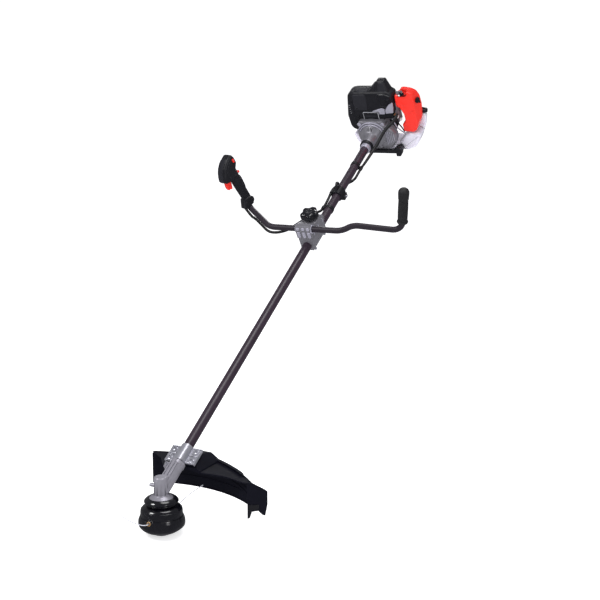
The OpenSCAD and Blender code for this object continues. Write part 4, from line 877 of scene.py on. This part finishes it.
def muffler_guard():
    """Rounded guard on the left with louvres."""
    shell = Shape(M["black"], M["panel"])
    body = hull_of([(-51, 131.5, 28), (-65, 62, 28), (-64, 30, 27), (-48, 20, 17), (-42, 140, 19)], 140)
    shell.slab(on_slab, body, 1624, 1671.5, 4, edge_low=11, n=7)
    for x in (-66.5, -63):
        shell.slab(on_slab, rounded([(x, 36), (x + 1.6, 36), (x + 1.6, 132), (x, 132)], 0.8, 3), 1622.8,
                   1628, 0.4, mat=1)
    for i in range(5):
        band = 1634 + i * 7
        shell.slab(on_slab, shrunk(body, -0.5), band, band + 2.2, 0.5, mat=1)
    obj = shell.piece("muffler_shell", "frame", ["muffler_guard"])
    slots, marks = Shape(), Shape(M["mark"])
    for i in range(5):
        h = 74 + i * 8
        slots.slab(on_slab, rounded([(-79, h), (-72, h), (-72, h + 3.6), (-79, h + 3.6)], 1.6, 3), 1615,
                   1632, 0)
        marks.slab(on_slab, rounded([(-77.6, h + 0.6), (-74, h + 0.6), (-74, h + 2.8), (-77.6, h + 2.8)],
                                    0.6, 2),
                   1625.5, 1628, 0.3)
    cut(obj, slots)
    marks.piece("guard_marks", "frame")


def stand():
    """Rails under the tank and the foot that reaches out beside the clutch housing."""
    foot = Shape(M["black"])
    for x in (-36, 36):
        rail = rounded([(x - 6, 1618), (x + 6, 1618), (x + 6, 1704), (x - 6, 1704)], 4, 4)
        foot.slab(tube_place, rail, -86, -77.5, 2.5)
    foot.slab(tube_place, rounded([(-41, 1612), (88, 1612), (88, 1624), (-41, 1624)], 4, 4), -85, -70, 3)
    foot.slab(tube_place, rounded([(-36, 1660), (36, 1660), (36, 1684), (-36, 1684)], 4, 4), -86, -78, 2)
    foot.slab(on_slab, rounded([(-2, -51), (60, -52), (72, -49), (86, -41), (97, -43), (98, -60), (90, -63),
                                (68, -58.5), (-2, -57)], [2, 6, 6, 5, 5, 4, 4, 8, 2], 4), 1585, 1597, 2)
    toe = rounded([(74, -84), (74, -50), (96, -46), (97, -62), (90, -84)], [3, 3, 4, 4, 4], 4)
    foot.slab(on_slab, toe, 1594, 1622, 3)
    foot.piece("stand_foot", "frame", ["tank_stand"])


SLANT_X, SLANT_L, SLANT = 162, 1632, math.radians(23)


def filter_cover():
    """Red air filter cover, its wing knob and the choke lever."""
    def slant(u, v, s):
        limit = SLANT_X + (s - SLANT_L) * math.tan(SLANT)
        over = u - limit + 4
        return (u if over < 0 else limit - 4 + 4 * math.tanh(over / 4)), v, s

    shell = Shape(M["red"], M["black"])
    right = [(105, -4), (140, -7), (153, 2), (171, 40), (178, 90), (176, 124), (166, 144), (150, 153)]
    left = [(97, 142.5), (95, 99), (107, 92), (118, 66), (118, 40), (104, 24)]
    front = rounded(right + [(143, 155), (139.5, 149), (134, 144)] + left,
                    [7, 12, 14, 40, 50, 24, 16, 20, 5, 6, 6, 6, 7, 14, 26, 14, 9], 6)
    back = rounded(right + [(121, 158.5), (113, 153), (111, 143.5)] + left,
                   [7, 12, 14, 40, 50, 24, 16, 24, 7, 6, 2, 6, 7, 14, 26, 14, 9], 6)
    shell.slab(on_slab, front, 1632, 1662, 5, edge_low=5.5, warp=slant, n=7)
    shell.slab(on_slab, back, 1652, 1670, 4, edge_low=4, warp=slant, n=6)
    button = [(5, -2), (5, 1.0), (4, 2.2), (2, 2.6), (0.1, 2.7)]
    shell.lathe(turned(tube_place, (152, 1631.4, 76), (0, -1, 0)), button, sides=28)
    shell.slab(on_slab, rounded([(100, 102), (128, 102), (128, 104), (100, 104)], 0.9, 3), 1631.4, 1636, 0.3,
               edge_low=0.6)
    shell.piece("filter_shell", "frame", ["filter_cover"])

    knob = Shape(M["black"])
    direction = (math.cos(SLANT), -math.sin(SLANT), 0)
    centre = turned(tube_place, (169.4, 1650, 114), direction)
    knob.lathe(centre, [(3.9, -13), (3.9, 0.5)], sides=20)
    knob.lathe(centre, [(8.4, 0.5), (10.4, 1.0), (10.4, 4.0), (9, 5.4), (0.1, 6)], sides=60,
               lobes=lambda r, s, a: r - (0.5 * (math.cos(18 * a) > 0) if r > 9.5 else 0))
    wing = rounded([(-11.4, -2.4), (-4, -3.6), (4, -3.6), (11.4, -2.4), (11.4, 2.4), (4, 3.6), (-4, 3.6),
                    (-11.4, 2.4)], 1.8, 3)
    knob.slab(centre, wing, 4, 11, 1.6)
    knob.piece("cover_wing_knob", "knob_cover", ["cover_knob"])

    choke = Shape(M["gloss"], M["white"])
    choke.slab(on_slab, hull_of([(120, 149, 5), (133, 153, 5.6)], 40), 1624.2, 1628, 1.3)
    choke.lathe(turned(tube_place, (120, 1624.4, 149), (0, -1, 0)), [(3.4, -1), (3.4, 1.0), (2.6, 1.8),
                                                                     (0.1, 1.9)],
                mat=1, sides=28)
    choke.lathe(turned(tube_place, (120, 1628, 149), (0, 1, 0)), [(3.9, 0), (3.9, 15)], sides=20)
    choke.piece("choke_blade", "lever_choke", ["choke_lever"])


def fuel_tank():
    """Milky tank built of overlapping lobes, with its knurled cap."""
    tank = Shape(M["tank"], M["black"])
    lobes = (
        ([(-66, -45), (70, -45), (104, -50), (104, -78), (-40, -78), (-66, -66)], [10, 6, 4, 4, 20, 12], 9),
        ([(82, -44), (99, -27), (112, -13), (124, -9), (152, -9), (167, -15), (149, -54), (134, -70),
          (112, -78), (82, -78)], [12, 20, 14, 10, 12, 12, 50, 30, 20, 6], 9),
        ([(-52, -52), (-66, -16), (-78, -7), (-86, -14), (-82, -34), (-66, -66), (-50, -72)],
         [10, 14, 8, 8, 14, 20, 10], 5),
    )
    for points, radii, edge in lobes:
        outline = rounded(points, radii, 6)
        tank.slab(on_slab, outline, 1626, 1690, edge, edge_low=edge, n=7)
    wing = rounded([(128, -34), (136, -10), (152, 8), (164, 34), (168, 46), (177, 45), (180.5, 34), (172, 0),
                    (150, -50)], [10, 14, 24, 24, 5, 5, 10, 40, 14], 6)
    tank.slab(on_slab, wing, 1671, 1690, 4.5, n=6)
    neck = turned(tube_place, (171, 1682, 38), (0.2, 0.1, 1))
    tank.lathe(neck, [(8, -6), (8, 7.6), (7, 8)], sides=32)
    tank.piece("tank_shell", "frame", ["fuel_tank"], sharp=75)

    cap = Shape(M["black"])

    def knurl(r, s, a):
        return r - (0.7 if r > 10.5 and math.sin(20 * a) > 0 else 0)

    cap.lathe(neck, [(8.4, 9.2), (11.2, 9.2), (11.6, 9.8), (11.6, 17.6), (11, 18.8), (9, 19.8), (0.1, 20.2)],
              sides=120, lobes=knurl)
    cap.slab(neck, rounded([(-9.4, -2.2), (9.4, -2.2), (9.4, 2.2), (-9.4, 2.2)], 1.6, 3), 19, 23.6, 1.2)
    cap.piece("knurled_cap", "cap_fuel", ["fuel_cap"])


def engine_detail():
    """Fuel lines, small fittings and the louvres of the starter."""
    extra = Shape(M["cast_light"], M["black"], M["brass"], M["white"])
    # fuel lines from carburettor to tank, barbs and small fittings by the carburettor
    for route, r, mat in (
        ([(80, 1634, 62), (88, 1630, 48), (92, 1632, 30), (96, 1640, 10), (100, 1648, -14)], 2.4, 1),
        ([(72, 1634, 60), (78, 1626, 44), (84, 1628, 20), (90, 1640, -4), (96, 1652, -22)], 2.2, 0),
    ):
        extra.sweep(tube_place, smooth_curve(route, 8), r, mat=mat, sides=12)
    for at, d, mat in (((88, 1629, 70), (-0.3, -1, -0.2), 2), ((94, 1632, 60), (0.2, -1, -0.6), 3),
                       ((104, 1634, 46), (0.3, -1, -0.4), 3), ((80, 1630, 84), (0, -1, 0.3), 2)):
        extra.lathe(turned(tube_place, at, d), [(4.4, -4), (4.4, 2), (3.4, 2.6), (3.4, 6), (2.4, 6.8),
                                                (0.1, 7)],
                    mat=mat, sides=24)
    # cylinder fins seen from behind and louvres on the starter
    for i in range(12):
        a = math.tau * i / 12
        d = Vector((math.sin(a), math.cos(a)))
        place = axes(tube_place(0, 0, 0), ACROSS * d.x + ABOVE * d.y, ACROSS * d.y - ABOVE * d.x, ALONG)
        louvre = rounded([(22, -1.6), (38, -1.6), (38, 1.6), (22, 1.6)], 1.4, 3)
        extra.slab(place, louvre, 1728.5, 1731.2, 1.0, mat=1)
    axis = axes(tube_place(0, 0, 0), ACROSS, -ABOVE, ALONG)
    extra.lathe(axis, [(14, 1728.5), (14, 1731), (12, 1732), (0.1, 1732)], mat=1, sides=48)
    for i in range(6):
        r = 54 + i * 1.2
        back = 1728 - i * 5.6
        extra.lathe(axis, [(r, back), (r + 0.8, back - 0.6), (r + 1.6, back - 2)], mat=1, sides=72)
    extra.piece("engine_fittings", "frame")


for build in (head_pieces, line_ends, gearbox_detail, guard_detail, handlebar, plain_grip, throttle_handle,
              clamp_detail, cable, clutch_housing, engine_cover, muffler_guard, stand, filter_cover,
              fuel_tank, engine_detail):
    build()


# ---------- floor, light and camera ----------

def plane(name, size, z):
    data = bpy.data.meshes.new(name)
    data.from_pydata([(-size, -size, z), (size, -size, z), (size, size, z), (-size, size, z)], [],
                     [(0, 1, 2, 3)])
    obj = bpy.data.objects.new(name, data)
    bpy.context.scene.collection.objects.link(obj)
    return obj


def shader(nodes, kind, **values):
    x = nodes.new(kind)
    for k, v in values.items():
        x.inputs[k].default_value = v
    return x


def white_floor():
    """Pale matt floor that still shows the soft contact shadow."""
    m = finish("pale_floor", (0.92, 0.92, 0.925), 0.9, grain=6, bump=0.0, blotch=0.01, spec=0.0)
    b = m.node_tree.nodes["Principled BSDF"]
    b.inputs["Emission Color"].default_value = (1, 1, 1, 1)
    b.inputs["Emission Strength"].default_value = 0.62
    return m


def stage():
    """Floor, world and four soft lights."""
    floor = plane("floor", 60, -0.0008)
    floor.data.materials.append(white_floor())
    floor.visible_glossy = False
    world = bpy.data.worlds.new("studio")
    bpy.context.scene.world = world
    world.use_nodes = True
    nodes, link = world.node_tree.nodes, world.node_tree.links.new
    seen = nodes["Background"]
    seen.inputs["Strength"].default_value = 1.05
    seen.inputs["Color"].default_value = (1, 1, 1, 1)
    diffuse = shader(nodes, "ShaderNodeBackground", Color=(0.97, 0.97, 1.0, 1), Strength=0.62)
    mirrored = shader(nodes, "ShaderNodeBackground", Color=(0.95, 0.96, 1.0, 1), Strength=0.16)
    path, first, second = (nodes.new(k) for k in ("ShaderNodeLightPath", "ShaderNodeMixShader",
                                                  "ShaderNodeMixShader"))
    link(path.outputs["Is Glossy Ray"], first.inputs["Fac"])
    link(diffuse.outputs["Background"], first.inputs[1])
    link(mirrored.outputs["Background"], first.inputs[2])
    link(path.outputs["Is Camera Ray"], second.inputs["Fac"])
    link(first.outputs["Shader"], second.inputs[1])
    link(seen.outputs["Background"], second.inputs[2])
    link(second.outputs["Shader"], nodes["World Output"].inputs["Surface"])
    for name, at, size, power in (("key", (-1.8, -2.0, 3.2), 1.3, 62), ("fill", (2.8, -1.2, 1.6), 0.9, 16),
                                  ("rim", (-0.9, 3.4, 2.4), 1.5, 30), ("top", (0.6, 0.6, 3.8), 2.0, 40)):
        light = bpy.data.lights.new(name, "AREA")
        light.shape, light.size, light.energy = "DISK", size, power
        obj = bpy.data.objects.new(name, light)
        obj.location = at
        obj.rotation_euler = (Vector((0.1, 0.7, 0.6)) - Vector(at)).to_track_quat("-Z", "Y").to_euler()
        bpy.context.scene.collection.objects.link(obj)


def camera():
    """Camera where the machine is seen from the front and a little from above."""
    azimuth, elevation = math.radians(CAMERA_AZIMUTH), math.radians(CAMERA_ELEVATION)
    back = Vector((math.sin(azimuth) * math.cos(elevation), -math.cos(azimuth) * math.cos(elevation),
                   math.sin(elevation)))
    data = bpy.data.cameras.new("camera")
    data.lens, data.sensor_width = 65.54, 36
    obj = bpy.data.objects.new("camera", data)
    obj.location = CAMERA_AT
    obj.rotation_euler = (-back).to_track_quat("-Z", "Y").to_euler()
    bpy.context.scene.collection.objects.link(obj)
    bpy.context.scene.camera = obj


stage()
camera()
bpy.context.scene.view_settings.view_transform = "Standard"
